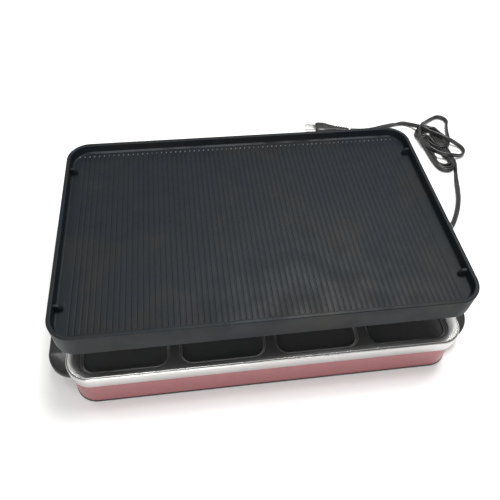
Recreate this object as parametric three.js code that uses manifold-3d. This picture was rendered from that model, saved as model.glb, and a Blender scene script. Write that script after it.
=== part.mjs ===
// Tabletop electric griddle: a ribbed cast plate resting on two end towers over a heating element,
// above a polished tray with eight pan wells, in a painted base with a handle at each end.
// Millimetres, +Z up. Origin: centre of the footprint, on the surface that the feet stand on.
// X runs along the griddle (the cord leaves at +X), -Y is the front.
import * as THREE from 'three';
import { mergeVertices } from 'three/addons/utils/BufferGeometryUtils.js';
import Module from 'manifold-3d';

const wasm = await Module();
wasm.setup();

// ---------- driving dimensions ----------
const GAP = 0.3;                       // clearance between touching pieces
const LIFT = 0.3;                      // overlap used when two shapes are joined into one

const PLATE = { length: 440, depth: 280, height: 30, bottom: 86, radius: 27, wall: 4.5 };
const PLATE_FLOOR = { bottom: 98, top: 104.6 };
const GROOVE = { count: 68, pitch: 6, mouth: 2, root: 1, depth: 0.8, reach: 129 };
const GUSSET = { y: 98, thickness: 3, reach: 8.5, height: 9.5, flat: 3 };
const LUG = { y: 98, width: 9, reach: 7, height: 8.5 };

const BASE = { length: 427, depth: 305, radius: 24.2, bottom: 2, top: 37.7, wall: 1.6 };
const LEDGE = { bottom: 6.7, top: 8.3, width: 26 };
const COVER = { bottom: 5.1, top: 6.4 };
const FOOT = { x: 196, y: 135, radius: 8, height: 4.8 };

const BAND = { length: 429, depth: 307, radius: 25, bottom: 38, top: 54.6, wall: 1.6 };
const BAND_LEDGE = { bottom: 49, top: 50.4, inset: 4.8 };
const BAND_LEG = { outer: 3.1, bottom: 30, wall: 1.2 };

const TRAY = { inset: 2.5, top: 55.6, sheet: 1.4, skirtBottom: 50.7 };
const WELL = { length: 92, depth: 140, radius: 14, pitchX: 102.3, pitchY: 152, drop: 6, draft: 2.5 };

const HANDLE = { outer: 240, bottom: 22.5, top: 33.5, corner: 28, cornerY: 105.5, wall: 2.6 };
const HANDLE_FALL = { from: 108, easeOver: 8, drop: 6 };
const HANDLE_FLANGE = { inner: 213.8, outer: 217, halfWidth: 100, bottom: 12 };
const HANDLE_SCREW = { y: 80, z: 17, end: 222 };

const TOWER = { inner: 196, outer: 222, halfWidth: 100, base: 55.9, seat: 85.7, wall: 2.4 };
const TOWER_SKIRT = { inner: 215.2, bottom: 34.2 };
const TOWER_RIB = { inner: 197, outer: 214.5, halfWidth: 90, top: 93 };
const TOWER_SCREW = { y: 70, z: 46, end: 206 };
const SHIELD = { inner: 194.4, outer: 195.7, bottom: 56.5, top: 92.5, halfWidth: 88 };

const ELEMENT = { z: 86, radius: 3.3, outerRun: 75, innerRun: 25, end: 206 };
const ELEMENT_TURN = { left: -150, right: 130 };
const RAIL = { y: 50, bottom: 72.6, top: 80.6, thickness: 2 };
const CROSS_BAR = { spacing: 95, width: 12, thickness: 1.5, halfLength: 86 };

const KNOB = { y: -45, z: 71, radius: 13, grip: 10.2, front: 236, skirt: 2.6 };
const LAMP = { y: -12, z: 71 };
const THERMOSTAT = { x0: 200, x1: 212, y0: -58, y1: -32, z0: 60.5, z1: 81 };
const TERMINAL_BLOCK = { x0: 200, x1: 211, y0: 26, y1: 50, z0: 62, z1: 77 };
const CORD = { exitY: 8, exitZ: 66, width: 7, thickness: 3.8, reliefEnd: 242 };
const PLUG = { x: 143, y: 279, turn: 172, length: 27, width: 24, height: 14, taper: 30 };
const BLADE = { length: 17.5, height: 6.35, thickness: 1.5, spacing: 12.7 };

// Free stretches of the cord, from the strain relief to the bundle, and from the bundle to the plug.
const CORD_LEAD_POINTS = [
  [242.6, 8, 66], [248, 8.1, 65.4], [254.5, 9.4, 61.5], [260, 12, 54], [264.5, 16, 43.5],
  [269, 21, 31.5], [274.5, 28, 19.4], [281, 36.5, 9.4], [290, 45.5, 4], [301, 57, 2.4], [312, 73, 2.2],
  [322, 91, 2.2], [330, 110, 2.2], [335.5, 129, 2.2], [338, 146, 2.4],
];
const CORD_TAIL_POINTS = [
  [290, 284.2, 4.2], [276, 283.2, 2.8], [258, 279.6, 2.4], [242, 275.6, 2.6], [228, 272.6, 3.8],
  [214, 270.8, 5.8], [200.2, 271, 7],
];
// Outline of the bundled cord, seen from above.
const BUNDLE_POINTS = [
  [322, 149], [339, 152], [353, 172], [377, 188], [388, 206], [382, 226], [372, 246], [378, 272],
  [374, 295], [356, 301], [334, 292], [310, 293], [298, 289], [293.5, 278], [287, 262], [285, 238],
  [297, 205], [309, 165],
];
const BUNDLE_TOP = 24;

// ---------- materials ----------
function finish(color, roughness, metalness) {
  return new THREE.MeshStandardMaterial({ color, roughness, metalness });
}
const castPlate = () => finish(0x303338, 0.5, 0.3);
const redPaint = () => finish(0xa84a50, 0.35, 0.4);
const polished = () => finish(0xd0d2d4, 0.15, 1.0);
const plainSteel = () => finish(0x9a9c9e, 0.4, 1.0);
const blackPlastic = () => finish(0x17181a, 0.35, 0.0);
const ceramic = () => finish(0xe4dfd2, 0.6, 0.0);
const rubber = () => finish(0x1d1d1d, 0.85, 0.0);
const cordBlack = () => finish(0x232323, 0.55, 0.0);
const amber = () => finish(0xd0561c, 0.2, 0.0);

// ---------- geometry helpers ----------
const DIRECTIONS = {
  x: new THREE.Matrix4().makeBasis(
    new THREE.Vector3(0, 1, 0), new THREE.Vector3(0, 0, 1), new THREE.Vector3(1, 0, 0)),
  y: new THREE.Matrix4().makeBasis(
    new THREE.Vector3(0, 0, 1), new THREE.Vector3(1, 0, 0), new THREE.Vector3(0, 1, 0)),
  z: new THREE.Matrix4(),
};

// Extrudes a shape from one level to another along an axis. The shape's own axes are the other two
// in cyclic order: (x, y) for z, (y, z) for x, and (z, x) for y.
function extrude(shape, axis, from, to, { bevel = 0, segments = 1, curves = 3 } = {}) {
  const geometry = new THREE.ExtrudeGeometry(shape, {
    depth: to - from - 2 * bevel,
    bevelEnabled: bevel > 0,
    bevelThickness: bevel,
    bevelSize: bevel,
    bevelOffset: -bevel,
    bevelSegments: segments,
    curveSegments: curves,
  });
  geometry.translate(0, 0, from + bevel);
  return geometry.applyMatrix4(DIRECTIONS[axis]);
}

function roundedRect(width, height, radius, centreX = 0, centreY = 0) {
  const x = width / 2;
  const y = height / 2;
  const shape = new THREE.Shape();
  shape.absarc(centreX + x - radius, centreY + y - radius, radius, 0, Math.PI / 2);
  shape.absarc(centreX - x + radius, centreY + y - radius, radius, Math.PI / 2, Math.PI);
  shape.absarc(centreX - x + radius, centreY - y + radius, radius, Math.PI, 1.5 * Math.PI);
  shape.absarc(centreX + x - radius, centreY - y + radius, radius, 1.5 * Math.PI, 2 * Math.PI);
  shape.closePath();
  return shape;
}

// A rounded-rectangle plate or block of the frame's outline, drawn in by an inset on every side.
function frameBlock(frame, inset, from, to, options) {
  const outline = roundedRect(
    frame.length - 2 * inset, frame.depth - 2 * inset, Math.max(frame.radius - inset, 1));
  return toSolid(extrude(outline, 'z', from, to, options));
}

function frameRing(frame, outerInset, innerInset, from, to, options) {
  const core = frameBlock(frame, innerInset, from - 1, to + 1);
  return frameBlock(frame, outerInset, from, to, options).subtract(core);
}

function box(x0, x1, y0, y1, z0, z1) {
  const geometry = new THREE.BoxGeometry(x1 - x0, y1 - y0, z1 - z0);
  return geometry.translate((x0 + x1) / 2, (y0 + y1) / 2, (z0 + z1) / 2);
}

function cylinder(axis, radius, from, to, u, v, sides = 12) {
  const geometry = new THREE.CylinderGeometry(radius, radius, to - from, sides);
  geometry.rotateX(Math.PI / 2).translate(u, v, (from + to) / 2);
  return geometry.applyMatrix4(DIRECTIONS[axis]);
}

// Turns a profile of [radius, level] points about an axis through (u, v).
function turned(axis, profile, u, v, sides = 12) {
  const points = profile.map(([radius, level]) => new THREE.Vector2(radius, level));
  const geometry = new THREE.LatheGeometry(points, sides);
  geometry.rotateX(Math.PI / 2).translate(u, v, 0);
  return geometry.applyMatrix4(DIRECTIONS[axis]);
}

function toSolid(geometry) {
  const bare = geometry.clone();
  bare.deleteAttribute('normal');
  bare.deleteAttribute('uv');
  const merged = mergeVertices(bare, 1e-4);
  return new wasm.Manifold(new wasm.Mesh({
    numProp: 3,
    vertProperties: new Float32Array(merged.attributes.position.array),
    triVerts: new Uint32Array(merged.index.array),
  }));
}

function toGeometry(solid) {
  const mesh = solid.getMesh();
  const geometry = new THREE.BufferGeometry();
  geometry.setAttribute('position', new THREE.BufferAttribute(mesh.vertProperties, 3));
  geometry.setIndex(new THREE.BufferAttribute(mesh.triVerts, 1));
  return geometry;
}

function join(...geometries) {
  return geometries.map(toSolid).reduce((sum, solid) => sum.add(solid));
}

function tube(points, radius, sides, steps) {
  const extrudePath = new THREE.CatmullRomCurve3(points.map((p) => new THREE.Vector3(...p)));
  return new THREE.ExtrudeGeometry(ellipse(radius, radius, sides), { steps, extrudePath });
}

// A many-sided section with its corners on an ellipse.
function ellipse(halfX, halfY, sides) {
  const corners = Array.from({ length: sides }, (_, i) => {
    const angle = (2 * Math.PI * (i + 0.5)) / sides;
    return new THREE.Vector2(halfX * Math.cos(angle), halfY * Math.sin(angle));
  });
  return new THREE.Shape(corners);
}

const griddle = new THREE.Group();

function addPiece(name, shape, material, parent = griddle) {
  const geometry = shape.isBufferGeometry ? shape : toGeometry(shape);
  const mesh = new THREE.Mesh(geometry, material);
  mesh.name = name;
  parent.add(mesh);
  return mesh;
}

// ---------- cooking plate ----------
function grooveComb() {
  const comb = new THREE.Shape();
  const half = GROOVE.pitch * (GROOVE.count - 1) / 2;
  const mouthLevel = PLATE_FLOOR.top + LIFT;
  const rootLevel = PLATE_FLOOR.top - GROOVE.depth;
  comb.moveTo(mouthLevel + 1, -half - GROOVE.mouth / 2);
  for (let i = 0; i < GROOVE.count; i += 1) {
    const x = -half + i * GROOVE.pitch;
    comb.lineTo(mouthLevel, x - GROOVE.mouth / 2);
    comb.lineTo(rootLevel, x - GROOVE.root / 2);
    comb.lineTo(rootLevel, x + GROOVE.root / 2);
    comb.lineTo(mouthLevel, x + GROOVE.mouth / 2);
  }
  comb.lineTo(mouthLevel + 1, half + GROOVE.mouth / 2);
  comb.closePath();
  return toSolid(extrude(comb, 'y', -GROOVE.reach, GROOVE.reach));
}

function gusset(side, y) {
  const wallFace = PLATE.length / 2 - PLATE.wall;
  const foot = PLATE_FLOOR.top - LIFT;
  const top = PLATE_FLOOR.top + GUSSET.height;
  const outline = new THREE.Shape();
  outline.moveTo(foot, wallFace + 1);
  outline.lineTo(top, wallFace + 1);
  outline.lineTo(top, wallFace - GUSSET.flat);
  outline.quadraticCurveTo(top - 1, wallFace - GUSSET.reach, foot + 2, wallFace - GUSSET.reach);
  outline.lineTo(foot, wallFace - GUSSET.reach);
  outline.closePath();
  const geometry = extrude(outline, 'y', -GUSSET.thickness / 2, GUSSET.thickness / 2);
  if (side < 0) {
    geometry.rotateZ(Math.PI);
  }
  return toSolid(geometry.translate(0, y, 0));
}

function lug(side, y, bottom) {
  const wallFace = PLATE.length / 2 - PLATE.wall;
  const outline = new THREE.Shape();
  const tip = wallFace - LUG.reach + LUG.width / 2;
  outline.moveTo(wallFace + 1, -LUG.width / 2);
  outline.lineTo(wallFace + 1, LUG.width / 2);
  outline.absarc(tip, 0, LUG.width / 2, Math.PI / 2, 1.5 * Math.PI);
  outline.closePath();
  const geometry = extrude(outline, 'z', bottom, bottom + LUG.height);
  if (side < 0) {
    geometry.rotateZ(Math.PI);
  }
  return toSolid(geometry.translate(0, y, 0));
}

function grillPlate() {
  const top = PLATE.bottom + PLATE.height;
  const rim = frameRing(PLATE, 0, PLATE.wall, PLATE.bottom, top, { bevel: 0.8 });
  const floor = frameBlock(PLATE, PLATE.wall - LIFT, PLATE_FLOOR.bottom, PLATE_FLOOR.top);
  let plate = rim.add(floor).subtract(grooveComb());
  for (const side of [-1, 1]) {
    for (const y of [-LUG.y, LUG.y]) {
      plate = plate.add(gusset(side, y));
      plate = plate.add(lug(side, y, PLATE_FLOOR.bottom + LIFT - LUG.height));
    }
  }
  return plate;
}

addPiece('grill_plate', grillPlate(), castPlate());

// ---------- base: housing, cover, feet ----------
function baseHousing() {
  const shell = frameBlock(BASE, 0, BASE.bottom, BASE.top + 6, { bevel: 1.2, segments: 2 })
    .subtract(toSolid(box(-250, 250, -200, 200, BASE.top, BASE.top + 10)));
  const inside = frameBlock(BASE, BASE.wall, BASE.bottom - 1, BASE.top + 1);
  const ledge = frameRing(BASE, BASE.wall - LIFT, LEDGE.width, LEDGE.bottom, LEDGE.top);
  let housing = shell.subtract(inside).add(ledge);
  for (const side of [-1, 1]) {
    for (const y of [-HANDLE_SCREW.y, HANDLE_SCREW.y]) {
      const hole = cylinder('x', 2.2, 205, 216, y, HANDLE_SCREW.z);
      housing = housing.subtract(toSolid(side > 0 ? hole : hole.rotateZ(Math.PI)));
    }
  }
  return drillForFeet(housing, LEDGE);
}

function footPlaces() {
  const places = [];
  for (const y of [-FOOT.y, FOOT.y]) {
    for (const x of [-FOOT.x, FOOT.x]) {
      places.push([x, y]);
    }
  }
  return places;
}

function drillForFeet(solid, level) {
  return footPlaces().reduce(
    (rest, [x, y]) => rest.subtract(toSolid(cylinder('z', 2.1, level.bottom - 1, level.top + 1, x, y))),
    solid);
}

function foot(x, y) {
  const profile = [
    [2.2, 2.4], [4.2, 2.4], [4.2, 0], [FOOT.radius - 1, 0], [FOOT.radius, 1],
    [FOOT.radius - 0.5, FOOT.height], [2.2, FOOT.height], [2.2, 2.4],
  ];
  return turned('z', profile, x, y);
}

function footScrew(x, y) {
  const profile = [[0, 0.5], [3.4, 0.9], [3.4, 2.1], [1.6, 2.1], [1.6, 11], [0, 12]];
  return turned('z', profile, x, y, 10);
}

addPiece('base_housing', baseHousing(), redPaint());
addPiece('bottom_cover',
  drillForFeet(frameBlock(BASE, BASE.wall + 0.5, COVER.bottom, COVER.top), COVER), plainSteel());
footPlaces().forEach(([x, y], index) => {
  addPiece(`foot_${index + 1}`, foot(x, y), rubber());
  addPiece(`foot_screw_${index + 1}`, footScrew(x, y), plainSteel());
});

// ---------- trim band and pan tray ----------
function trimBand() {
  const wall = frameRing(BAND, 0, BAND.wall, BAND.bottom, BAND.top);
  const ledge = frameRing(
    BAND, BAND.wall - LIFT, BAND_LEDGE.inset, BAND_LEDGE.bottom, BAND_LEDGE.top);
  const leg = frameRing(
    BAND, BAND_LEG.outer, BAND_LEG.outer + BAND_LEG.wall, BAND_LEG.bottom, BAND_LEDGE.bottom + LIFT);
  let band = wall.add(ledge).add(leg);
  for (const side of [-1, 1]) {
    for (const y of [-TOWER_SCREW.y, TOWER_SCREW.y]) {
      const hole = cylinder('x', 2.1, 205, 218, y, TOWER_SCREW.z);
      band = band.subtract(toSolid(side > 0 ? hole : hole.rotateZ(Math.PI)));
    }
  }
  return band;
}

function wellBlock(column, row, grow, from, to) {
  const outline = roundedRect(
    WELL.length + 2 * grow, WELL.depth + 2 * grow, WELL.radius + grow,
    (column - 1.5) * WELL.pitchX, (row - 0.5) * WELL.pitchY);
  // The bevel at the lower end gives the well its sloping side.
  return toSolid(extrude(outline, 'z', from, to + 10, { bevel: WELL.draft, curves: 2 }))
    .subtract(toSolid(box(-250, 250, -200, 200, to, to + 20)));
}

function panTray() {
  const floor = TRAY.top - WELL.drop;
  let tray = frameBlock(BAND, TRAY.inset, TRAY.top - TRAY.sheet, TRAY.top)
    .add(frameRing(BAND, TRAY.inset, TRAY.inset + TRAY.sheet, TRAY.skirtBottom, TRAY.top - LIFT));
  for (const row of [0, 1]) {
    for (const column of [0, 1, 2, 3]) {
      const shell = wellBlock(column, row, TRAY.sheet, floor - TRAY.sheet, TRAY.top - TRAY.sheet + LIFT);
      tray = tray.add(shell);
    }
  }
  for (const row of [0, 1]) {
    for (const column of [0, 1, 2, 3]) {
      tray = tray.subtract(wellBlock(column, row, 0, floor, TRAY.top + 2));
    }
  }
  return tray;
}

addPiece('trim_band', trimBand(), polished());
addPiece('pan_tray', panTray(), polished());

// ---------- handles ----------
// A handle stands out from the end wall: level along the side, falling towards its rounded ends.
function handleOutline(inset) {
  const outline = new THREE.Shape();
  const centreX = HANDLE.outer - HANDLE.corner;
  const radius = HANDLE.corner - inset;
  const back = HANDLE_FLANGE.inner + (inset > 0 ? HANDLE_FLANGE.outer - HANDLE_FLANGE.inner : 0);
  const startAngle = Math.acos((back - centreX) / radius);
  outline.absarc(centreX, -HANDLE.cornerY, radius, -startAngle, 0);
  outline.absarc(centreX, HANDLE.cornerY, radius, 0, startAngle);
  outline.closePath();
  return outline;
}

function handleSide(drop) {
  const side = new THREE.Shape();
  const end = HANDLE.cornerY + HANDLE.corner + 1;
  const level = HANDLE.top - drop;
  const { from, easeOver, drop: fall } = HANDLE_FALL;
  side.moveTo(-end, 0);
  side.lineTo(end, 0);
  side.lineTo(end, level - fall);
  side.quadraticCurveTo(from + easeOver, level, from, level);
  side.lineTo(-from, level);
  side.quadraticCurveTo(-from - easeOver, level, -end, level - fall);
  side.closePath();
  return side;
}

function handle() {
  const skin = toSolid(extrude(handleOutline(0), 'z', HANDLE.bottom, HANDLE.top + 2))
    .intersect(toSolid(extrude(handleSide(0), 'x', 200, 250)));
  const hollow = toSolid(extrude(handleOutline(HANDLE.wall), 'z', HANDLE.bottom - 5, HANDLE.top + 2))
    .intersect(toSolid(extrude(handleSide(HANDLE.wall), 'x', 200, 250)));
  const flange = toSolid(extrude(
    roundedRect(2 * HANDLE_FLANGE.halfWidth, HANDLE.top - HANDLE_FLANGE.bottom - 1, 4,
      0, (HANDLE.top + HANDLE_FLANGE.bottom - 1) / 2),
    'x', HANDLE_FLANGE.inner, HANDLE_FLANGE.outer));
  let piece = skin.subtract(hollow).add(flange);
  for (const y of [-HANDLE_SCREW.y, HANDLE_SCREW.y]) {
    piece = piece
      .add(toSolid(cylinder('x', 5, HANDLE_FLANGE.outer - LIFT, 226, y, HANDLE_SCREW.z + 1)))
      .subtract(toSolid(cylinder('x', 1.9, 205, 224, y, HANDLE_SCREW.z)));
  }
  return piece;
}

// A pan-head screw along +X: the head's seat is at `seat`, the shank runs from there to `end`.
function sideScrew(seat, end, y, z) {
  const away = Math.sign(seat - end);
  const profile = [
    [0, seat + 2 * away], [2.6, seat + 1.8 * away], [3.6, seat + 0.8 * away], [3.6, seat],
    [1.6, seat], [1.6, end + 1.5 * away], [0, end],
  ];
  return turned('x', away < 0 ? profile : profile.reverse(), y, z, 10);
}

for (const [side, angle] of [['right', 0], ['left', Math.PI]]) {
  const end = new THREE.Group();
  end.rotation.z = angle;
  griddle.add(end);
  addPiece(`${side}_handle`, handle(), blackPlastic(), end);
  [-HANDLE_SCREW.y, HANDLE_SCREW.y].forEach((y, index) => {
    const screw = sideScrew(BASE.length / 2 - BASE.wall - GAP, HANDLE_SCREW.end, y, HANDLE_SCREW.z);
    addPiece(`${side}_handle_screw_${index + 1}`, screw, plainSteel(), end);
  });
  [-TOWER_SCREW.y, TOWER_SCREW.y].forEach((y, index) => {
    const screw = sideScrew(TOWER.outer + GAP, TOWER_SCREW.end, y, TOWER_SCREW.z);
    addPiece(`${side}_tower_screw_${index + 1}`, screw, plainSteel(), end);
  });
}

// ---------- end towers ----------
function towerSlab(halfWidth, bottom, top, radius) {
  return roundedRect(2 * halfWidth, top - bottom, radius, 0, (top + bottom) / 2);
}

function tower() {
  const { halfWidth, wall } = TOWER;
  const body = toSolid(extrude(
    towerSlab(halfWidth, TOWER.base, TOWER.seat, 5), 'x', TOWER.inner, TOWER.outer));
  const skirt = toSolid(extrude(
    towerSlab(halfWidth, TOWER_SKIRT.bottom, TOWER.seat, 5),
    'x', TOWER_SKIRT.inner, TOWER.outer));
  const rib = toSolid(extrude(
    towerSlab(TOWER_RIB.halfWidth, TOWER.seat - 6, TOWER_RIB.top, 3),
    'x', TOWER_RIB.inner, TOWER_RIB.outer));
  const chamber = toSolid(box(TOWER.inner - 5, TOWER.outer - wall,
    -halfWidth + wall, halfWidth - wall, TOWER.base + wall, TOWER.seat - wall));
  const ribChamber = toSolid(box(TOWER.inner - 5, TOWER_RIB.outer - wall,
    -TOWER_RIB.halfWidth + wall, TOWER_RIB.halfWidth - wall, TOWER.seat - wall - 1, TOWER_RIB.top - wall));
  const skirtHollow = toSolid(box(TOWER_SKIRT.inner - 5, TOWER.outer - wall,
    -halfWidth + wall, halfWidth - wall, TOWER_SKIRT.bottom - 1, TOWER.base - 1));
  let piece = body.add(skirt).add(rib).subtract(chamber).subtract(ribChamber);
  piece = piece.subtract(skirtHollow);
  for (const y of [-TOWER_SCREW.y, TOWER_SCREW.y]) {
    piece = piece
      .add(toSolid(cylinder('x', 5, TOWER_SKIRT.inner, TOWER.outer - 1, y, TOWER_SCREW.z)))
      .subtract(toSolid(cylinder('x', 2.1, 205, 230, y, TOWER_SCREW.z)));
  }
  return piece;
}

function rightTower() {
  return tower()
    .subtract(toSolid(cylinder('x', 3.6, 210, 230, KNOB.y, KNOB.z, 16)))
    .subtract(toSolid(cylinder('x', 3.4, 210, 230, LAMP.y, LAMP.z, 16)))
    .subtract(toSolid(cylinder('x', 5.4, 210, 230, CORD.exitY, CORD.exitZ, 16)));
}

function heatShield(openings) {
  const outline = towerSlab(SHIELD.halfWidth, SHIELD.bottom, SHIELD.top, 3);
  return openings.reduce(
    (rest, y) => rest.subtract(toSolid(cylinder('x', ELEMENT.radius + 0.6, 190, 200, y, ELEMENT.z))),
    toSolid(extrude(outline, 'x', SHIELD.inner, SHIELD.outer)));
}

addPiece('right_tower', rightTower(), blackPlastic());
addPiece('left_tower', tower(), blackPlastic()).rotation.z = Math.PI;
addPiece('right_heat_shield', heatShield([-ELEMENT.outerRun, ELEMENT.outerRun]), plainSteel());
addPiece('left_heat_shield', heatShield([]), plainSteel()).rotation.z = Math.PI;

// ---------- heating element and its frame ----------
// A path drawn through given stations, each with its own direction. The side of its section stays
// level, so a flat section lies flat.
class StationPath extends THREE.Curve {
  constructor(stations) {
    super();
    this.stations = stations;
  }

  getSpacedPoints() {
    return this.stations.map(({ point }) => point);
  }

  computeFrenetFrames() {
    const up = new THREE.Vector3(0, 0, 1);
    const tangents = this.stations.map(({ direction }) => direction);
    const binormals = tangents.map((tangent) => tangent.clone().cross(up).normalize());
    const normals = tangents.map((tangent, i) => binormals[i].clone().cross(tangent).normalize());
    return { tangents, normals, binormals };
  }
}

function sweepStations(stations, section) {
  return new THREE.ExtrudeGeometry(section, {
    steps: stations.length - 1,
    extrudePath: new StationPath(stations),
  });
}

// Half a circle of stations in the element's plane. It runs from one y to another, bulging along X.
function halfTurn(x, fromY, toY, bulge) {
  const pieces = 8;
  const middle = (fromY + toY) / 2;
  const radius = (toY - fromY) / 2;
  return Array.from({ length: pieces + 1 }, (_, i) => {
    const angle = Math.PI * (i / pieces - 0.5);
    return {
      point: new THREE.Vector3(
        x + bulge * radius * Math.cos(angle), middle + radius * Math.sin(angle), ELEMENT.z),
      direction: new THREE.Vector3(-bulge * Math.sin(angle), Math.cos(angle), 0),
    };
  });
}

// Four long runs joined by three half turns.
function heatingElement() {
  const { z, outerRun, innerRun, end, radius } = ELEMENT;
  const terminal = (y, along) => ({
    point: new THREE.Vector3(end, y, z),
    direction: new THREE.Vector3(along, 0, 0),
  });
  const stations = [
    terminal(-outerRun, -1),
    ...halfTurn(ELEMENT_TURN.left, -outerRun, -innerRun, -1),
    ...halfTurn(ELEMENT_TURN.right, -innerRun, innerRun, 1),
    ...halfTurn(ELEMENT_TURN.left, innerRun, outerRun, -1),
    terminal(outerRun, 1),
  ];
  return sweepStations(stations, ellipse(radius, radius, 8));
}

function elementPin(side) {
  const from = ELEMENT.end + GAP;
  return cylinder('x', 1.8, from, from + 3.6, side * ELEMENT.outerRun, ELEMENT.z, 10);
}

function elementClip(x, y) {
  const outline = new THREE.Shape();
  const outer = ELEMENT.radius + 1.5;
  const inner = ELEMENT.radius + 0.35;
  const foot = CROSS_BAR_TOP + GAP;
  outline.moveTo(foot, -outer);
  outline.lineTo(ELEMENT.z, -outer);
  outline.absarc(ELEMENT.z, 0, outer, -Math.PI / 2, Math.PI / 2);
  outline.lineTo(foot, outer);
  outline.lineTo(foot, inner);
  outline.lineTo(ELEMENT.z, inner);
  outline.absarc(ELEMENT.z, 0, inner, Math.PI / 2, -Math.PI / 2, true);
  outline.lineTo(foot, -inner);
  outline.closePath();
  // The outline is drawn in (z, y); it runs along X.
  const geometry = new THREE.ExtrudeGeometry(outline, { depth: 7, bevelEnabled: false, curveSegments: 8 });
  geometry.applyMatrix4(new THREE.Matrix4().makeBasis(
    new THREE.Vector3(0, 0, 1), new THREE.Vector3(0, 1, 0), new THREE.Vector3(-1, 0, 0)));
  return geometry.translate(x + 3.5, y, 0);
}

const CROSS_BAR_TOP = ELEMENT.z - ELEMENT.radius - GAP;
const CROSS_BAR_BOTTOM = CROSS_BAR_TOP - CROSS_BAR.thickness;

addPiece('heating_element', heatingElement(), plainSteel());
addPiece('element_pin_front', elementPin(-1), plainSteel());
addPiece('element_pin_back', elementPin(1), plainSteel());
for (const [name, side] of [['front', -1], ['back', 1]]) {
  const y = side * RAIL.y;
  const reach = SHIELD.inner - GAP;
  addPiece(`${name}_support_rail`,
    box(-reach, reach, y - RAIL.thickness / 2, y + RAIL.thickness / 2, RAIL.bottom, RAIL.top),
    plainSteel());
}
[-1, 0, 1].forEach((place, index) => {
  const x = place * CROSS_BAR.spacing;
  addPiece(`cross_bar_${index + 1}`,
    box(x - CROSS_BAR.width / 2, x + CROSS_BAR.width / 2, -CROSS_BAR.halfLength, CROSS_BAR.halfLength,
      CROSS_BAR_BOTTOM, CROSS_BAR_TOP), plainSteel());
});
[-ELEMENT.outerRun, -ELEMENT.innerRun, ELEMENT.innerRun, ELEMENT.outerRun].forEach((y, index) => {
  addPiece(`element_clip_${index + 1}`, elementClip(0, y), plainSteel());
});

// ---------- heat control, pilot light and wiring in the right tower ----------
function knobOutline() {
  const grip = new THREE.Shape();
  const flutes = 16;
  const sides = flutes * 2;
  for (let i = 0; i < sides; i += 1) {
    const radius = KNOB.grip + (i % 2 ? 0.5 : -0.5);
    const angle = (2 * Math.PI * i) / sides;
    const point = [KNOB.y + radius * Math.cos(angle), KNOB.z + radius * Math.sin(angle)];
    if (i === 0) {
      grip.moveTo(...point);
    } else {
      grip.lineTo(...point);
    }
  }
  grip.closePath();
  return grip;
}

function controlKnob() {
  const back = TOWER.outer + GAP + 0.1;
  const skirtFront = back + KNOB.skirt;
  return toSolid(cylinder('x', KNOB.radius, back, skirtFront, KNOB.y, KNOB.z, 32))
    .add(toSolid(extrude(knobOutline(), 'x', skirtFront - LIFT, KNOB.front, { bevel: 0.8 })))
    .subtract(toSolid(cylinder('x', 3.3, back - 1, 231.3, KNOB.y, KNOB.z)));
}

function indicatorLens() {
  const seat = TOWER.outer + GAP;
  const profile = [
    [0, 217], [3, 217], [3, seat], [4.3, seat], [3.6, seat + 1.3], [1.8, seat + 2], [0, seat + 2.2],
  ];
  return turned('x', profile, LAMP.y, LAMP.z, 14);
}

function strainRelief() {
  const seat = TOWER.outer + GAP;
  const inside = TOWER.outer - TOWER.wall - GAP;
  const profile = [
    [0, inside - 2.4], [7.2, inside - 2.4], [7.2, inside], [5, inside], [5, seat], [7.4, seat],
    [7.4, seat + 2.4], [5.8, seat + 3.4], [4.3, CORD.reliefEnd], [0, CORD.reliefEnd],
  ];
  return turned('x', profile, CORD.exitY, CORD.exitZ, 14);
}

function block({ x0, x1, y0, y1, z0, z1 }) {
  return box(x0, x1, y0, y1, z0, z1);
}

addPiece('thermostat_body', block(THERMOSTAT), ceramic());
addPiece('thermostat_spindle', cylinder('x', 3, THERMOSTAT.x1 + GAP, 231, KNOB.y, KNOB.z), plainSteel());
addPiece('control_knob', controlKnob(), blackPlastic());
addPiece('indicator_lens', indicatorLens(), amber());
addPiece('indicator_lamp', cylinder('x', 2.6, 206, 216.7, LAMP.y, LAMP.z), ceramic());
addPiece('terminal_block', block(TERMINAL_BLOCK), ceramic());
addPiece('cord_strain_relief', strainRelief(), rubber());

const LEADS = {
  supply_lead: [
    [216.3, 8, 66], [213.5, 9, 66], [209, 13, 66.5], [206, 19, 67.5], [205.5, 25, 68],
  ],
  live_lead: [
    [205.5, 25, 73.5], [205.5, 15, 78.5], [205.5, -5, 80.5], [205.5, -20, 77], [205.5, -31, 73],
  ],
  front_element_lead: [
    [206, -59, 74], [207, -64, 75], [212, -70, 79.5], [213.2, -74.4, 81], [213.5, -80, 78],
  ],
  back_element_lead: [
    [206, 51, 72], [207, 56, 73], [210, 64, 77], [212.5, 70, 80], [213.5, 78, 78],
  ],
};
for (const [name, points] of Object.entries(LEADS)) {
  addPiece(name, tube(points, 1.2, 6, 12), cordBlack());
}

// ---------- cord and plug ----------
function flatCord(points) {
  const curve = new THREE.CatmullRomCurve3(
    points.map((p) => new THREE.Vector3(...p)), false, 'centripetal');
  const steps = Math.round(curve.getLength() / (2 * CORD.width));
  const stations = Array.from({ length: steps + 1 }, (_, i) => ({
    point: curve.getPointAt(i / steps),
    direction: curve.getTangentAt(i / steps),
  }));
  return sweepStations(stations, ellipse(CORD.thickness / 2, CORD.width / 2, 8));
}

function bundle() {
  const corners = [...BUNDLE_POINTS, BUNDLE_POINTS[0]].map(([x, y]) => new THREE.Vector2(x, y));
  const outline = new THREE.Shape(new THREE.SplineCurve(corners).getPoints(51).slice(0, -1));
  return extrude(outline, 'z', 0.1, BUNDLE_TOP);
}

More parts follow.
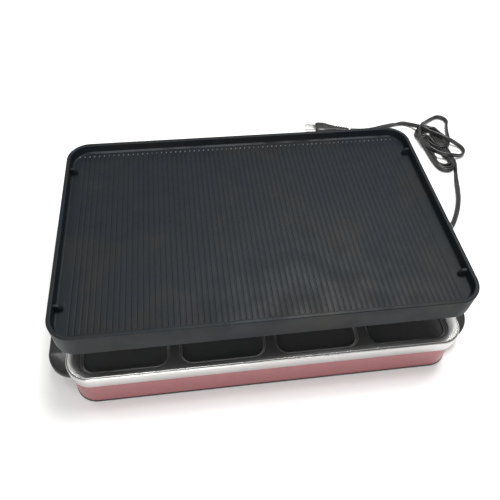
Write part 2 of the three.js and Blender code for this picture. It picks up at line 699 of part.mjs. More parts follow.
function plugBody() {
  const outline = roundedRect(PLUG.length, PLUG.width, 5, -PLUG.length / 2, 0);
  const block = toSolid(extrude(outline, 'z', 0, PLUG.height, { bevel: 2, segments: 2 }));
  const relief = new THREE.CylinderGeometry(4, 7, PLUG.taper, 12);
  relief.rotateZ(Math.PI / 2).rotateX(Math.PI / 2);
  relief.scale(1, 1, 0.8).translate(-PLUG.length - PLUG.taper / 2 + 1, 0, PLUG.height / 2);
  return block.add(toSolid(relief));
}

function plugBlade(side) {
  const y = (side * BLADE.spacing) / 2;
  const middle = PLUG.height / 2;
  const outline = new THREE.Shape();
  outline.moveTo(middle - BLADE.height / 2, GAP);
  outline.lineTo(middle - BLADE.height / 2, BLADE.length - 2);
  outline.lineTo(middle - BLADE.height / 2 + 1.5, BLADE.length);
  outline.lineTo(middle + BLADE.height / 2 - 1.5, BLADE.length);
  outline.lineTo(middle + BLADE.height / 2, BLADE.length - 2);
  outline.lineTo(middle + BLADE.height / 2, GAP);
  outline.closePath();
  const hole = new THREE.Path();
  hole.absarc(middle, BLADE.length - 4.5, 1.5, 0, 2 * Math.PI);
  outline.holes.push(hole);
  return extrude(outline, 'y', y - BLADE.thickness / 2, y + BLADE.thickness / 2);
}

addPiece('cord_lead', flatCord(CORD_LEAD_POINTS), cordBlack());
addPiece('cord_bundle', bundle(), cordBlack());
addPiece('cord_tail', flatCord(CORD_TAIL_POINTS), cordBlack());

const plug = new THREE.Group();
plug.rotation.z = THREE.MathUtils.degToRad(PLUG.turn);
plug.position.set(PLUG.x, PLUG.y, 0);
griddle.add(plug);
addPiece('plug_body', plugBody(), cordBlack(), plug);
addPiece('plug_blade_1', plugBlade(-1), polished(), plug);
addPiece('plug_blade_2', plugBlade(1), polished(), plug);

export default griddle;
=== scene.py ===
import math

import bmesh
import bpy
import numpy as np
from mathutils import Matrix, Vector
from mathutils.geometry import delaunay_2d_cdt


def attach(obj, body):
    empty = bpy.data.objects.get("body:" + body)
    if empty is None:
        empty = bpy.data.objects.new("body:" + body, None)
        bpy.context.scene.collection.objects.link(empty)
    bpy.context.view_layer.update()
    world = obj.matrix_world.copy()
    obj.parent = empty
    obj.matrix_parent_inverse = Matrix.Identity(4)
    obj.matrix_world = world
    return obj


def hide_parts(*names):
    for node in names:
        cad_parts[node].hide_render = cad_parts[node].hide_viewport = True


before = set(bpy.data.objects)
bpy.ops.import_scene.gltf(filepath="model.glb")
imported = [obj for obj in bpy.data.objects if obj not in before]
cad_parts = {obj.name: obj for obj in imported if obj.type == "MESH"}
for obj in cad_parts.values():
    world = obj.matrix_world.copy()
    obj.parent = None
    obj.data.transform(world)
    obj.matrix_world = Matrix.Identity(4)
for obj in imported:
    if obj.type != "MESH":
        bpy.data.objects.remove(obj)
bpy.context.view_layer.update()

MM = 0.001

# ---------- dimensions, as in the CAD part (mm) ----------
PLATE = dict(length=440, depth=280, radius=27)
PLATE_BOTTOM, PLATE_TOP, PLATE_WALL = 86, 116, 4.5
FLOOR_BOTTOM, FLOOR_TOP = 98, 104.6
GROOVE_COUNT, GROOVE_PITCH, GROOVE_REACH = 68, 6.0, 129.0
GROOVE_MOUTH, GROOVE_ROOT, GROOVE_DEPTH = 1.8, 0.8, 0.42
LUG_Y, LUG_WIDTH, LUG_REACH, LUG_HEIGHT = 98, 9, 7, 8.5
# Painted highlights in the coating (mm): a pale dot at each groove's end, and a pale line in the back corner.
HIGHLIGHT_DOT_BACK_GAP, HIGHLIGHT_DOT_FRONT_GAP, HIGHLIGHT_DOT_INNER, HIGHLIGHT_DOT_OUTER = 0.1, 1.9, 2.1, 2.7
CORNER_HIGHLIGHT_FRONT, CORNER_HIGHLIGHT_BACK, CORNER_HIGHLIGHT_BELOW, CORNER_HIGHLIGHT_ABOVE = 133.4, 136.0, 0.5, 1.3
GUSSET_THICKNESS, GUSSET_REACH, GUSSET_HEIGHT, GUSSET_FLAT = 3, 8.5, 8.5, 3
BASE = dict(length=427, depth=305, radius=24.2)
BASE_BOTTOM, BASE_TOP, BASE_WALL = 2.3, 37.7, 1.6
LEDGE_BOTTOM, LEDGE_TOP, LEDGE_WIDTH = 6.7, 8.3, 26
HEM_TOP, HEM_SWELL, COVER_BOTTOM, SHADE_RING_LIP = 4.2, 0.5, 5.1, 1.0
BAND = dict(length=429, depth=307, radius=25)
BAND_BOTTOM, BAND_TOP, BAND_WALL = 38, 54.6, 1.6
BAND_SHELF_BOTTOM, BAND_SHELF_TOP = 49, 50.4
BAND_LEG_OUTER, BAND_LEG_INNER, BAND_LEG_BOTTOM = 3.2, 4.8, 30
TRAY_TOP, TRAY_INSET, TRAY_SKIRT, TRAY_SHEET = 55.6, 2.0, 50.7, 1.1
WELL_LENGTH, WELL_DEPTH, WELL_RADIUS, WELL_DROP = 92, 140, 14, 6
WELL_PITCH_X, WELL_PITCH_Y, WELL_FLAT, WELL_CROWN = 102.3, 152, 9, 1.5
HANDLE_OUTER, HANDLE_BOTTOM, HANDLE_TOP, HANDLE_CORNER, HANDLE_CORNER_Y = 240, 22.5, 33.5, 28, 105.5
TOWER_SCREW_Y, TOWER_SCREW_Z, TOWER_FACE, TOWER_SCREW_END = 70, 46, 222.3, 206
HANDLE_SCREW_Y, HANDLE_SCREW_Z, HANDLE_SCREW_SEAT, HANDLE_SCREW_END = 80, 17, 211.6, 222
HANDLE_BACK, HANDLE_WALL, HANDLE_LEVEL_Y = 213.9, 2.6, 108
ELEMENT_Z, ELEMENT_RADIUS, ELEMENT_OUTER, ELEMENT_INNER, ELEMENT_END = 86, 3.3, 75, 25, 206
ELEMENT_LEFT_BEND, ELEMENT_RIGHT_BEND = -150, 130
KNOB_Y, KNOB_Z, LAMP_Y, LAMP_Z = -45, 71, -12, 71
CORD_EXIT_Y, CORD_EXIT_Z, CORD_WIDTH = 8, 66, 7
FOOT_X, FOOT_Y, FOOT_RADIUS, FOOT_HEIGHT = 196, 135, 8, 4.8
PLUG_X, PLUG_Y, PLUG_Z, PLUG_TURN = 143, 279, 7, 172
BLADE_LENGTH, BLADE_HEIGHT, BLADE_THICKNESS, BLADE_SPACING = 17.5, 6.35, 1.5, 12.7


# ---------- camera ----------
CAMERA_PLACE = (-0.07257, -0.38615, 0.54708)
CAMERA_YAW, CAMERA_PITCH, CAMERA_ROLL = 0.173715, 0.902300, 0.056719
CAMERA_LENS = 36.75


def add_camera():
    cy, sy = math.cos(CAMERA_YAW), math.sin(CAMERA_YAW)
    cp, sp = math.cos(CAMERA_PITCH), math.sin(CAMERA_PITCH)
    cr, sr = math.cos(CAMERA_ROLL), math.sin(CAMERA_ROLL)
    forward = Vector((sy * cp, cy * cp, -sp))
    right = Vector((cy, -sy, 0))
    up = right.cross(forward)
    right_rolled = cr * right + sr * up
    up_rolled = -sr * right + cr * up
    turn = Matrix((right_rolled, up_rolled, -forward)).transposed().to_4x4()
    data = bpy.data.cameras.new("camera")
    data.sensor_width = 36
    data.lens = CAMERA_LENS
    camera = bpy.data.objects.new("camera", data)
    camera.matrix_world = Matrix.Translation(CAMERA_PLACE) @ turn
    bpy.context.scene.collection.objects.link(camera)
    bpy.context.scene.camera = camera


add_camera()


# ---------- materials ----------
class Shader:
    """A principled material and short ways of adding nodes to it."""

    def __init__(self, name, color, roughness, metallic=0.0, **fixed):
        self.material = bpy.data.materials.new(name)
        self.material.use_nodes = True
        self.nodes = self.material.node_tree.nodes
        self.links = self.material.node_tree.links
        self.shader = self.nodes["Principled BSDF"]
        self.set("Base Color", (*color, 1))
        self.set("Roughness", roughness)
        self.set("Metallic", metallic)
        for socket, value in fixed.items():
            self.set(socket.replace("_", " "), value)
        self.place = self.nodes.new("ShaderNodeTexCoord").outputs["Object"]
        self.normal = None

    def set(self, socket, value):
        self.shader.inputs[socket].default_value = value

    def feed(self, node, socket, value):
        if isinstance(value, bpy.types.NodeSocket):
            self.links.new(value, node.inputs[socket])
        else:
            node.inputs[socket].default_value = value

    def stretch(self, scale):
        node = self.nodes.new("ShaderNodeMapping")
        self.links.new(self.place, node.inputs["Vector"])
        node.inputs["Scale"].default_value = scale
        return node.outputs["Vector"]

    def noise(self, scale, detail=3.0, roughness=0.5, distortion=0.0, stretch=None):
        node = self.nodes.new("ShaderNodeTexNoise")
        self.feed(node, "Vector", self.stretch(stretch) if stretch else self.place)
        self.feed(node, "Scale", scale)
        self.feed(node, "Detail", detail)
        self.feed(node, "Roughness", roughness)
        self.feed(node, "Distortion", distortion)
        return node.outputs["Fac"]

    def cells(self, scale):
        node = self.nodes.new("ShaderNodeTexVoronoi")
        self.feed(node, "Vector", self.place)
        self.feed(node, "Scale", scale)
        return node.outputs["Distance"]

    def ramp(self, value, low, high, to_low=0.0, to_high=1.0):
        node = self.nodes.new("ShaderNodeMapRange")
        node.interpolation_type = "SMOOTHSTEP"
        for socket, amount in (("Value", value), ("From Min", low), ("From Max", high),
                               ("To Min", to_low), ("To Max", to_high)):
            self.feed(node, socket, amount)
        return node.outputs["Result"]

    def axis(self, name):
        """The place along one axis of the piece, in metres."""
        node = self.nodes.new("ShaderNodeSeparateXYZ")
        self.links.new(self.place, node.inputs[0])
        return node.outputs[name]

    def between(self, value, low, high, soft):
        """One between two places (mm), and zero beyond them, with a soft edge."""
        rise = self.ramp(value, (low - soft) * MM, low * MM)
        return self.math("MULTIPLY", rise, self.ramp(value, high * MM, (high + soft) * MM, 1.0, 0.0))

    def math(self, operation, a, b):
        node = self.nodes.new("ShaderNodeMath")
        node.operation = operation
        self.feed(node, 0, a)
        self.feed(node, 1, b)
        return node.outputs["Value"]

    def mix(self, factor, a, b):
        node = self.nodes.new("ShaderNodeMix")
        node.data_type = "RGBA"
        self.feed(node, 0, factor)
        for socket, value in ((6, a), (7, b)):
            self.feed(node, socket, (*value, 1) if isinstance(value, tuple) else value)
        return node.outputs[2]

    def color(self, value):
        self.links.new(value, self.shader.inputs["Base Color"])

    def roughness(self, value):
        self.links.new(value, self.shader.inputs["Roughness"])

    def bump(self, height, strength, distance):
        node = self.nodes.new("ShaderNodeBump")
        self.feed(node, "Strength", strength)
        self.feed(node, "Distance", distance)
        self.links.new(height, node.inputs["Height"])
        if self.normal:
            self.links.new(self.normal, node.inputs["Normal"])
        self.normal = node.outputs["Normal"]
        self.links.new(self.normal, self.shader.inputs["Normal"])


def cast_coating():
    """Non-stick coating over cast aluminium: near black, faintly blue, with brown cooking haze."""
    s = Shader("cast_coating", (0.010, 0.013, 0.015), 0.46)
    s.set("Specular IOR Level", 0.14)
    haze = s.ramp(s.noise(9, 4, 0.6), 0.45, 0.75)
    tone = s.mix(haze, (0.0055, 0.0084, 0.0112), (0.0130, 0.0116, 0.0090))
    fine = s.ramp(s.noise(900, 2), 0.3, 0.7)
    tone = s.mix(s.math("MULTIPLY", fine, 0.4), tone, (0.0150, 0.0176, 0.0208))
    specks = s.ramp(s.cells(150), 0.0, 0.045, 1.0, 0.0)
    rare = s.ramp(s.noise(30, 1), 0.60, 0.66)
    tone = s.mix(s.math("MULTIPLY", specks, rare), tone, (0.32, 0.31, 0.29))
    across, along = s.axis("X"), s.axis("Y")
    # Grooves lie at odd half pitches from the middle, so the folded place is largest at each groove.
    folded = s.math("PINGPONG", across, GROOVE_PITCH / 2 * MM)
    at_groove = s.ramp(folded, HIGHLIGHT_DOT_INNER * MM, HIGHLIGHT_DOT_OUTER * MM)
    # Painted highlight: a pale dot at the back end of each groove, its strength varied by noise.
    groove_end = s.between(along, GROOVE_REACH - HIGHLIGHT_DOT_FRONT_GAP, GROOVE_REACH - HIGHLIGHT_DOT_BACK_GAP, 0.3)
    wear_and_highlight = s.math("MULTIPLY", groove_end, s.ramp(s.noise(45, 2), 0.35, 0.60, 0.4, 1.0))
    tone = s.mix(s.math("MULTIPLY", at_groove, wear_and_highlight), tone, (0.092, 0.096, 0.100))
    # Painted highlight: a pale line along the fillet where the floor meets the back wall.
    corner = s.math("MULTIPLY", s.between(along, CORNER_HIGHLIGHT_FRONT, CORNER_HIGHLIGHT_BACK, 0.5),
                    s.between(s.axis("Z"), FLOOR_TOP - CORNER_HIGHLIGHT_BELOW, FLOOR_TOP + CORNER_HIGHLIGHT_ABOVE, 0.6))
    tone = s.mix(s.math("MULTIPLY", corner, s.ramp(s.noise(25, 2), 0.3, 0.5)), tone, (0.052, 0.056, 0.064))
    s.color(tone)
    s.roughness(s.ramp(s.noise(40, 4), 0.3, 0.7, 0.40, 0.54))
    s.bump(s.noise(1600, 3, 0.6), 0.22, 0.0004)
    return s.material


def red_paint():
    """Satin metallic red over pressed steel."""
    s = Shader("red_paint", (0.235, 0.050, 0.056), 0.38, 0.25, Coat_Weight=0.3, Coat_Roughness=0.14)
    flake = s.ramp(s.noise(2600, 1), 0.35, 0.7)
    tone = s.mix(flake, (0.190, 0.047, 0.052), (0.275, 0.091, 0.096))
    cloud = s.ramp(s.noise(14, 3), 0.35, 0.7)
    tone = s.mix(cloud, tone, (0.235, 0.070, 0.074))
    s.color(tone)
    s.roughness(s.ramp(s.noise(60, 3), 0.3, 0.7, 0.30, 0.42))
    s.bump(s.noise(700, 3), 0.10, 0.0003)
    return s.material


def polished_steel(name, low, high, bright=0.80, metal=1.0, wave=0.12):
    """Bright stainless sheet with wiping marks, smudges and hairline scratches."""
    clean = (bright, bright, 0.985 * bright)
    s = Shader(name, clean, 0.5 * (low + high), metal)
    smudge = s.ramp(s.noise(22, 5, 0.6, 0.6), 0.42, 0.72)
    broad = s.ramp(s.noise(4, 1), 0.35, 0.65)
    tone = s.mix(broad, clean, tuple(0.86 * c for c in clean))
    s.color(s.mix(smudge, tone, (0.88 * bright, 0.86 * bright, 0.83 * bright)))
    s.roughness(s.ramp(s.noise(12, 3, 0.5), 0.25, 0.8, low, high))
    hair = s.noise(260, 2, 0.5, 0.0, (1.0, 14.0, 14.0))
    s.bump(hair, 0.3 * wave, 0.0002)
    s.bump(s.noise(18, 2), wave, 0.0012)
    return s.material


def plain_steel(name="plain_steel", color=(0.52, 0.52, 0.51), rough=(0.28, 0.45)):
    """Zinc-plated or rolled steel for frames, screws and shields."""
    s = Shader(name, color, 0.35, 1.0)
    spangle = s.ramp(s.cells(120), 0.1, 0.7)
    dark = tuple(0.82 * c for c in color)
    s.color(s.mix(spangle, color, dark))
    s.roughness(s.ramp(s.noise(90, 4), 0.3, 0.7, *rough))
    s.bump(s.noise(420, 3, 0.5, 0.0, (1.0, 6.0, 6.0)), 0.12, 0.0003)
    return s.material


def black_plastic(name, color, low, high, coat=0.0):
    """Moulded phenolic: faint flow marks, fine texture and rubbed patches."""
    s = Shader(name, color, low, 0.0, Coat_Weight=coat, Coat_Roughness=0.06)
    wear_and_highlight = s.ramp(s.noise(34, 4, 0.6), 0.5, 0.78)
    s.color(s.mix(wear_and_highlight, color, tuple(1.7 * c for c in color)))
    s.roughness(s.ramp(s.noise(70, 4), 0.3, 0.7, low, high))
    s.bump(s.noise(1500, 2), 0.08, 0.0003)
    s.bump(s.noise(35, 2), 0.10, 0.0010)
    return s.material


def cord_sheath():
    """Soft black vinyl with a dull bloom, drawn marks along its length and a little dust."""
    s = Shader("cord_sheath", (0.012, 0.012, 0.0115), 0.5, Specular_IOR_Level=0.5)
    dust = s.ramp(s.noise(160, 4, 0.7), 0.52, 0.75)
    s.color(s.mix(dust, (0.010, 0.010, 0.0095), (0.042, 0.041, 0.038)))
    s.roughness(s.ramp(s.noise(240, 3), 0.3, 0.7, 0.30, 0.50))
    s.bump(s.noise(900, 3), 0.15, 0.0003)
    return s.material


def rubber():
    s = Shader("foot_rubber", (0.018, 0.018, 0.018), 0.8)
    s.color(s.mix(s.ramp(s.noise(300, 4), 0.4, 0.75), (0.016, 0.016, 0.016), (0.05, 0.048, 0.045)))
    s.roughness(s.ramp(s.noise(120, 3), 0.3, 0.7, 0.7, 0.9))
    s.bump(s.noise(1800, 3), 0.3, 0.0004)
    return s.material


def ceramic():
    s = Shader("ceramic", (0.72, 0.68, 0.60), 0.55)
    s.color(s.mix(s.ramp(s.noise(260, 5, 0.7), 0.45, 0.8), (0.74, 0.70, 0.62), (0.58, 0.52, 0.44)))
    s.roughness(s.ramp(s.noise(150, 3), 0.3, 0.7, 0.48, 0.68))
    s.bump(s.noise(2000, 3), 0.25, 0.0004)
    return s.material


def amber_lens():
    s = Shader("amber_lens", (0.75, 0.16, 0.03), 0.16, 0.0, Coat_Weight=0.6, Coat_Roughness=0.05)
    s.color(s.mix(s.ramp(s.cells(900), 0.1, 0.6), (0.80, 0.19, 0.04), (0.52, 0.09, 0.02)))
    s.roughness(s.ramp(s.noise(400, 2), 0.3, 0.7, 0.12, 0.24))
    s.bump(s.cells(900), 0.3, 0.0003)
    return s.material


def element_sheath():
    """Oxidised tube with straw and blue heat tints."""
    s = Shader("element_sheath", (0.20, 0.19, 0.18), 0.45, 0.9)
    tint = s.ramp(s.noise(16, 3, 0.6), 0.35, 0.7)
    tone = s.mix(tint, (0.21, 0.19, 0.17), (0.13, 0.14, 0.17))
    s.color(s.mix(s.ramp(s.noise(220, 4), 0.5, 0.8), tone, (0.30, 0.25, 0.19)))
    s.roughness(s.ramp(s.noise(90, 3), 0.3, 0.7, 0.4, 0.62))
    s.bump(s.noise(1200, 3), 0.25, 0.0004)
    return s.material


COATING = cast_coating()
RED = red_paint()
STEEL_BRIGHT = polished_steel("polished_steel", 0.19, 0.24, metal=0.96, wave=0.01)
STEEL_BAND = polished_steel("polished_band", 0.20, 0.30, 0.66)
STEEL_PLAIN = plain_steel()
SHIELD_STEEL = plain_steel("shield_steel", (0.60, 0.60, 0.60), (0.22, 0.36))
HANDLE_BLACK = black_plastic("handle_black", (0.007, 0.0075, 0.0075), 0.24, 0.34, 0.12)
TOWER_BLACK = black_plastic("tower_black", (0.016, 0.016, 0.017), 0.34, 0.5)
CORD_BLACK = cord_sheath()
RUBBER = rubber()
CERAMIC = ceramic()
AMBER = amber_lens()
SHEATH = element_sheath()
BLADE_STEEL = polished_steel("plated_blade", 0.12, 0.24)


# ---------- shape helpers ----------
def rounded_outline(length, depth, radius, corner=12, at=(0, 0), straight=1):
    """Points round a rectangle with round corners, anticlockwise from the lower end of the right side."""
    points = []
    x, y = length / 2 - radius, depth / 2 - radius
    for index, (sx, sy) in enumerate(((1, 1), (-1, 1), (-1, -1), (1, -1))):
        for k in range(corner + 1):
            angle = math.pi / 2 * (index + k / corner)
            points.append(Vector((at[0] + sx * x + radius * math.cos(angle),
                                  at[1] + sy * y + radius * math.sin(angle))))
    if straight > 1:
        dense = []
        for a, b in zip(points, points[1:] + points[:1]):
            steps = straight if (b - a).length > 2 * radius * math.pi / 2 / corner + 4 else 1
            dense += [a.lerp(b, i / steps) for i in range(steps)]
        points = dense
    return [(p.x, p.y) for p in points]


def fillet(points, closed=False, steps=4):
    """Rounds a profile. Each point is (a, b) or (a, b, radius)."""
    result = []
    count = len(points)
    for i, point in enumerate(points):
        radius = point[2] if len(point) > 2 else 0
        here = Vector(point[:2])
        if radius <= 0 or (not closed and i in (0, count - 1)):
            result.append(tuple(here))
            continue
        before = Vector(points[i - 1][:2]) - here
        after = Vector(points[(i + 1) % count][:2]) - here
        half = before.angle(after) / 2
        reach = min(radius / math.tan(half), 0.49 * before.length, 0.49 * after.length)
        start = here + before.normalized() * reach
        end = here + after.normalized() * reach
        bisector = (before.normalized() + after.normalized()).normalized()
        centre = here + bisector * (reach / math.cos(half))
        a, b = start - centre, end - centre
        sweep = a.angle_signed(b)
        for k in range(steps + 1):
            turned = a.copy()
            turned.rotate(Matrix.Rotation(-sweep * k / steps, 2))
            result.append(tuple(centre + turned))
    return result


def bridge(bm, loops, closed=False, caps=(False, False)):
    """Joins rings of vertices with the same count into a skin, and may close its two ends."""
    rings = [[bm.verts.new(p) for p in loop] for loop in loops]
    pairs = list(zip(rings, rings[1:]))
    if closed:
        pairs.append((rings[-1], rings[0]))
    for a, b in pairs:
        for i in range(len(a)):
            j = (i + 1) % len(a)
            bm.faces.new((a[i], a[j], b[j], b[i]))
    if caps[0]:
        bm.faces.new(rings[0])
    if caps[1]:
        bm.faces.new(rings[-1])
    return rings


def fill_between(bm, outer, holes):
    """Fills the flat area inside one ring of vertices and outside the others, which are convex."""
    verts, edges, owner = [], [], []
    for number, ring in enumerate([outer, *holes]):
        first = len(verts)
        verts += ring
        owner += [number] * len(ring)
        edges += [(first + i, first + (i + 1) % len(ring)) for i in range(len(ring))]
    _, _, triangles, sources, _, _ = delaunay_2d_cdt([v.co.to_2d() for v in verts], edges, [], 1, 1e-5)
    for triangle in triangles:
        corners = [sources[i][0] for i in triangle]
        rings = {owner[i] for i in corners}
        if rings == {0} or len(rings) > 1:
            bm.faces.new([verts[i] for i in corners])


def frame_loops(frame_size, profile, corner):
    """One ring per (inset, level) of the profile, round a frame's outline."""
    return [[(x, y, z) for x, y in rounded_outline(
        frame_size["length"] - 2 * inset, frame_size["depth"] - 2 * inset,
        max(frame_size["radius"] - inset, 0.8), corner)] for inset, z in profile]


def lathe_loops(profile, axis, centre, sides=32):
    """Rings of a turned shape. The profile is (radius, level) along the axis through the centre."""
    loops = []
    for radius, level in profile:
        ring = []
        for k in range(sides):
            u = radius * math.cos(2 * math.pi * k / sides)
            v = radius * math.sin(2 * math.pi * k / sides)
            point = {"z": (centre[0] + u, centre[1] + v, level),
                     "x": (level, centre[0] + u, centre[1] + v)}[axis]
            ring.append(point)
        loops.append(ring)
    return loops


def piece(name, bm, material, body, replaces=(), sharp=50, turn=0):
    """Makes a piece from a mesh drawn in millimetres. turn is a half turn about Z for the left end."""
    bmesh.ops.recalc_face_normals(bm, faces=bm.faces)
    mesh = bpy.data.meshes.new(name)
    bm.to_mesh(mesh)
    bm.free()
    mesh.transform(Matrix.Rotation(math.radians(turn), 4, "Z") @ Matrix.Scale(MM, 4))
    mesh.materials.append(material)
    obj = bpy.data.objects.new(name, mesh)
    bpy.context.scene.collection.objects.link(obj)
    finish_piece(obj, body, replaces, sharp)
    return obj


def finish_piece(obj, body, replaces, sharp):
    for face in obj.data.polygons:
        face.use_smooth = True
    if sharp:
        obj.data.set_sharp_from_angle(angle=math.radians(sharp))
    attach(obj, body)
    if replaces:
        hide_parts(*replaces)


def apply_modifiers(obj):
    """Swaps the object's mesh for the one that its modifiers make."""
    graph = bpy.context.evaluated_depsgraph_get()
    graph.update()
    mesh = bpy.data.meshes.new_from_object(obj.evaluated_get(graph))
    obj.modifiers.clear()
    old = obj.data
    obj.data = mesh
    bpy.data.meshes.remove(old)
    return obj


def flat_normals(obj):
    """Applies the modifiers, with shading that keeps large flat faces flat up to their rounded edges."""
    weighted = obj.modifiers.new("weighted", "WEIGHTED_NORMAL")
    weighted.weight = 90
    weighted.keep_sharp = True
    apply_modifiers(obj)


def softened(name, node, material, body, width=0.6, segments=2, sharp=40):
    """A copy of a CAD node with its flat facets merged and its edges broken by a small bevel."""
    bm = bmesh.new()
    bm.from_mesh(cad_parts[node].data)
    bmesh.ops.remove_doubles(bm, verts=bm.verts, dist=1e-6)
    bmesh.ops.dissolve_limit(bm, angle_limit=math.radians(1), verts=bm.verts, edges=bm.edges)
    mesh = bpy.data.meshes.new(name)
    bm.to_mesh(mesh)
    bm.free()
    mesh.materials.clear()
    mesh.materials.append(material)
    obj = bpy.data.objects.new(name, mesh)
    bpy.context.scene.collection.objects.link(obj)
    bevel = obj.modifiers.new("bevel", "BEVEL")
    bevel.width = width * MM
    bevel.segments = segments
    bevel.limit_method = "ANGLE"
    bevel.angle_limit = math.radians(sharp)
    bevel.harden_normals = False
    apply_modifiers(obj)
    finish_piece(obj, body, (node,), sharp)
    return obj


# ---------- cord: its planned route, how it settles, its sheath and its plug ----------
# Listed places and a formula for the hank give a plan, which is then let down in small rounds.
# The way from the boot to the hank, and from the hank to the plug (mm).
CORD_LEAD = [
    (242.6, 8, 66), (248, 8.1, 65.4), (254.5, 9.4, 61.5), (260, 12, 54), (264.5, 16, 43.5), (269, 21, 31.5),
    (274.5, 28, 19.4), (281, 36.5, 9.4), (290, 45.5, 3.9), (301, 57, 2.2), (312, 73, 2.0), (322, 91, 2.0),
    (330, 110, 2.0), (335.5, 129, 2.1), (340, 146, 2.8)]
CORD_TAIL = [(290, 284.2, 4.2), (276, 283.2, 2.6), (258, 279.6, 2.2), (242, 275.6, 2.4), (228, 272.6, 3.6),
             (214, 270.8, 5.6), (200.2, 271, 7)]
# Loops thrown on top of the hank: x and y as the camera sees them against a level 10 mm up, and height.
CORD_LOOPS = [
    (323, 238, 32), (326, 226, 34), (331.5, 216.5, 35), (339, 213, 36), (347, 215, 37), (353, 222.5, 38),
    (353.5, 234, 39), (347, 245, 40), (338, 253, 41), (328, 259, 42), (321, 256, 43), (320, 245, 44),
    (322, 230, 45), (327.5, 217, 46), (335, 209.5, 47), (345, 209, 48), (354, 216, 49), (358.5, 228, 50),
    (360.5, 243, 50), (365, 258, 49), (369.5, 270, 48), (372, 281, 48), (367.5, 288.5, 50), (358, 289, 52),
    (347, 285, 54), (335, 278, 56), (324, 269, 58), (315.5, 257, 60), (312.5, 242, 62), (313.5, 227, 63),
    (317.5, 213, 64), (324.5, 202, 65), (334, 194.5, 66), (346, 190, 67), (358, 187, 65), (368, 189.5, 62),
    (373, 198, 62), (372, 209, 64), (364.5, 221, 68), (354.5, 232, 72), (343, 243, 74), (331, 254.5, 72),
    (317.5, 266, 62), (303.5, 274.5, 42)]
HANK_CENTRE, HANK_AXIS, HANK_SIDE = (327.0, 209.0), (-0.06, 0.998), (0.998, 0.06)
HANK_START, HANK_TURNS = -0.16, 3.42
# Along the hank, by turns: half width, reach at the top and at the bottom, and height (mm).
HANK_AT = (-0.22, 0.9, 1.9, 2.3, 2.7, 3.2, 4.2)
HANK_WIDTH = (15.8, 13.0, 11.2, 10.8, 11.0, 13.6, 15.4)
HANK_TOP = (56, 52, 50, 50, 51, 53, 55)
HANK_BOTTOM = (57.5, 53.5, 49.5, 45.5, 42.5, 48, 54)
HANK_HEIGHT = (3.6, 3.7, 10, 12, 14, 17, 22)
# How far (x, y) a place shifts along the camera's sight for each mm that it lies below the seen level.
SIGHT, SIGHT_LEVEL = (0.71, 1.14), 10
CORE_OFFSET, CORE_RADIUS, CORE_CLEARANCE, CORE_FLOOR = 1.6, 1.9, 3.95, 1.95
STEP, FOLD_RADIUS, FLOOR_MARGIN = 2.0, 10.8, 0.16
# The lead's first point on the table, and the tail's last free one.
LEAD_LANDS, TAIL_HELD_FROM = 9, 3
# The section turns on edge this far before and after entering the hank, and flat again before the tail.
TURN_IN, TURN_OUT = 25, 45
# Each round's drop (mm) and pull back to the plan, at first and in the last rounds.
DROP, LAST_DROP, PULL, LAST_PULL = 0.22, 0.1, 0.12, 0.05


def hank_point(turn):
    """A place on the hank's long round loop, going up its right side, over the top and down the left."""
    width, top, bottom, height = (np.interp(turn, HANK_AT, row)
                                  for row in (HANK_WIDTH, HANK_TOP, HANK_BOTTOM, HANK_HEIGHT))
    up, down, bend = top - width, bottom - width, math.pi * width
    along = (turn % 1) * 2 * (up + down + bend)
    if along < up:
        across, length = width, along
    elif along < up + bend:
        angle = (along - up) / width
        across, length = width * math.cos(angle), up + width * math.sin(angle)
    elif along < 2 * up + down + bend:
        across, length = -width, 2 * up + bend - along
    elif along < 2 * up + down + 2 * bend:
        angle = (along - 2 * up - down - bend) / width
        across, length = -width * math.cos(angle), -down - width * math.sin(angle)
    else:
        across, length = width, along - 2 * (up + down + bend)
    x, y = (centre + side * across + axis * length
            for centre, side, axis in zip(HANK_CENTRE, HANK_SIDE, HANK_AXIS))
    return x, y, height


def moved_along_sight(points, sign):
    """Points shifted along the line of sight, from their own height to the level 10 mm up or back."""
    points = np.array(points, float)
    points[:, :2] += sign * (SIGHT_LEVEL - points[:, 2:]) * SIGHT
    return points


def smooth_curve(points, parts):
    """A centripetal Catmull-Rom curve through the points, each stretch cut into equal parts."""
    padded = np.vstack([2 * points[0] - points[1], points, 2 * points[-1] - points[-2]])
    dense = []
    for p0, p1, p2, p3 in zip(padded, padded[1:], padded[2:], padded[3:]):
        t1, t2, t3 = np.cumsum([np.linalg.norm(step) ** 0.5 for step in (p1 - p0, p2 - p1, p3 - p2)])
        for t in np.linspace(t1, t2, parts, endpoint=False):
            a1 = p0 + (p1 - p0) * t / t1
            a2 = p1 + (p2 - p1) * (t - t1) / (t2 - t1)
            a3 = p2 + (p3 - p2) * (t - t2) / (t3 - t2)
            b1 = a1 + (a2 - a1) * t / t2
            b2 = a2 + (a3 - a2) * (t - t1) / (t3 - t1)
            dense.append(b1 + (b2 - b1) * (t - t1) / (t2 - t1))
    return np.array(dense + [points[-1]])


def lengths_along(points):
    return np.concatenate([[0], np.cumsum(np.linalg.norm(np.diff(points, axis=0), axis=1))])


def unit(vectors):
    return vectors / np.maximum(np.linalg.norm(vectors, axis=1), 1e-6)[:, None]


def frame_along(centres):
    """Level sideways directions and the directions above them, for each place on a curve."""
    tangents = unit(np.gradient(centres, axis=0))
    sides = unit(np.cross(tangents, (0, 0, 1.0)))
    return sides, np.cross(sides, tangents)


def nearest(points, place):
    return np.argmin(np.linalg.norm(points - np.array(place), axis=1))


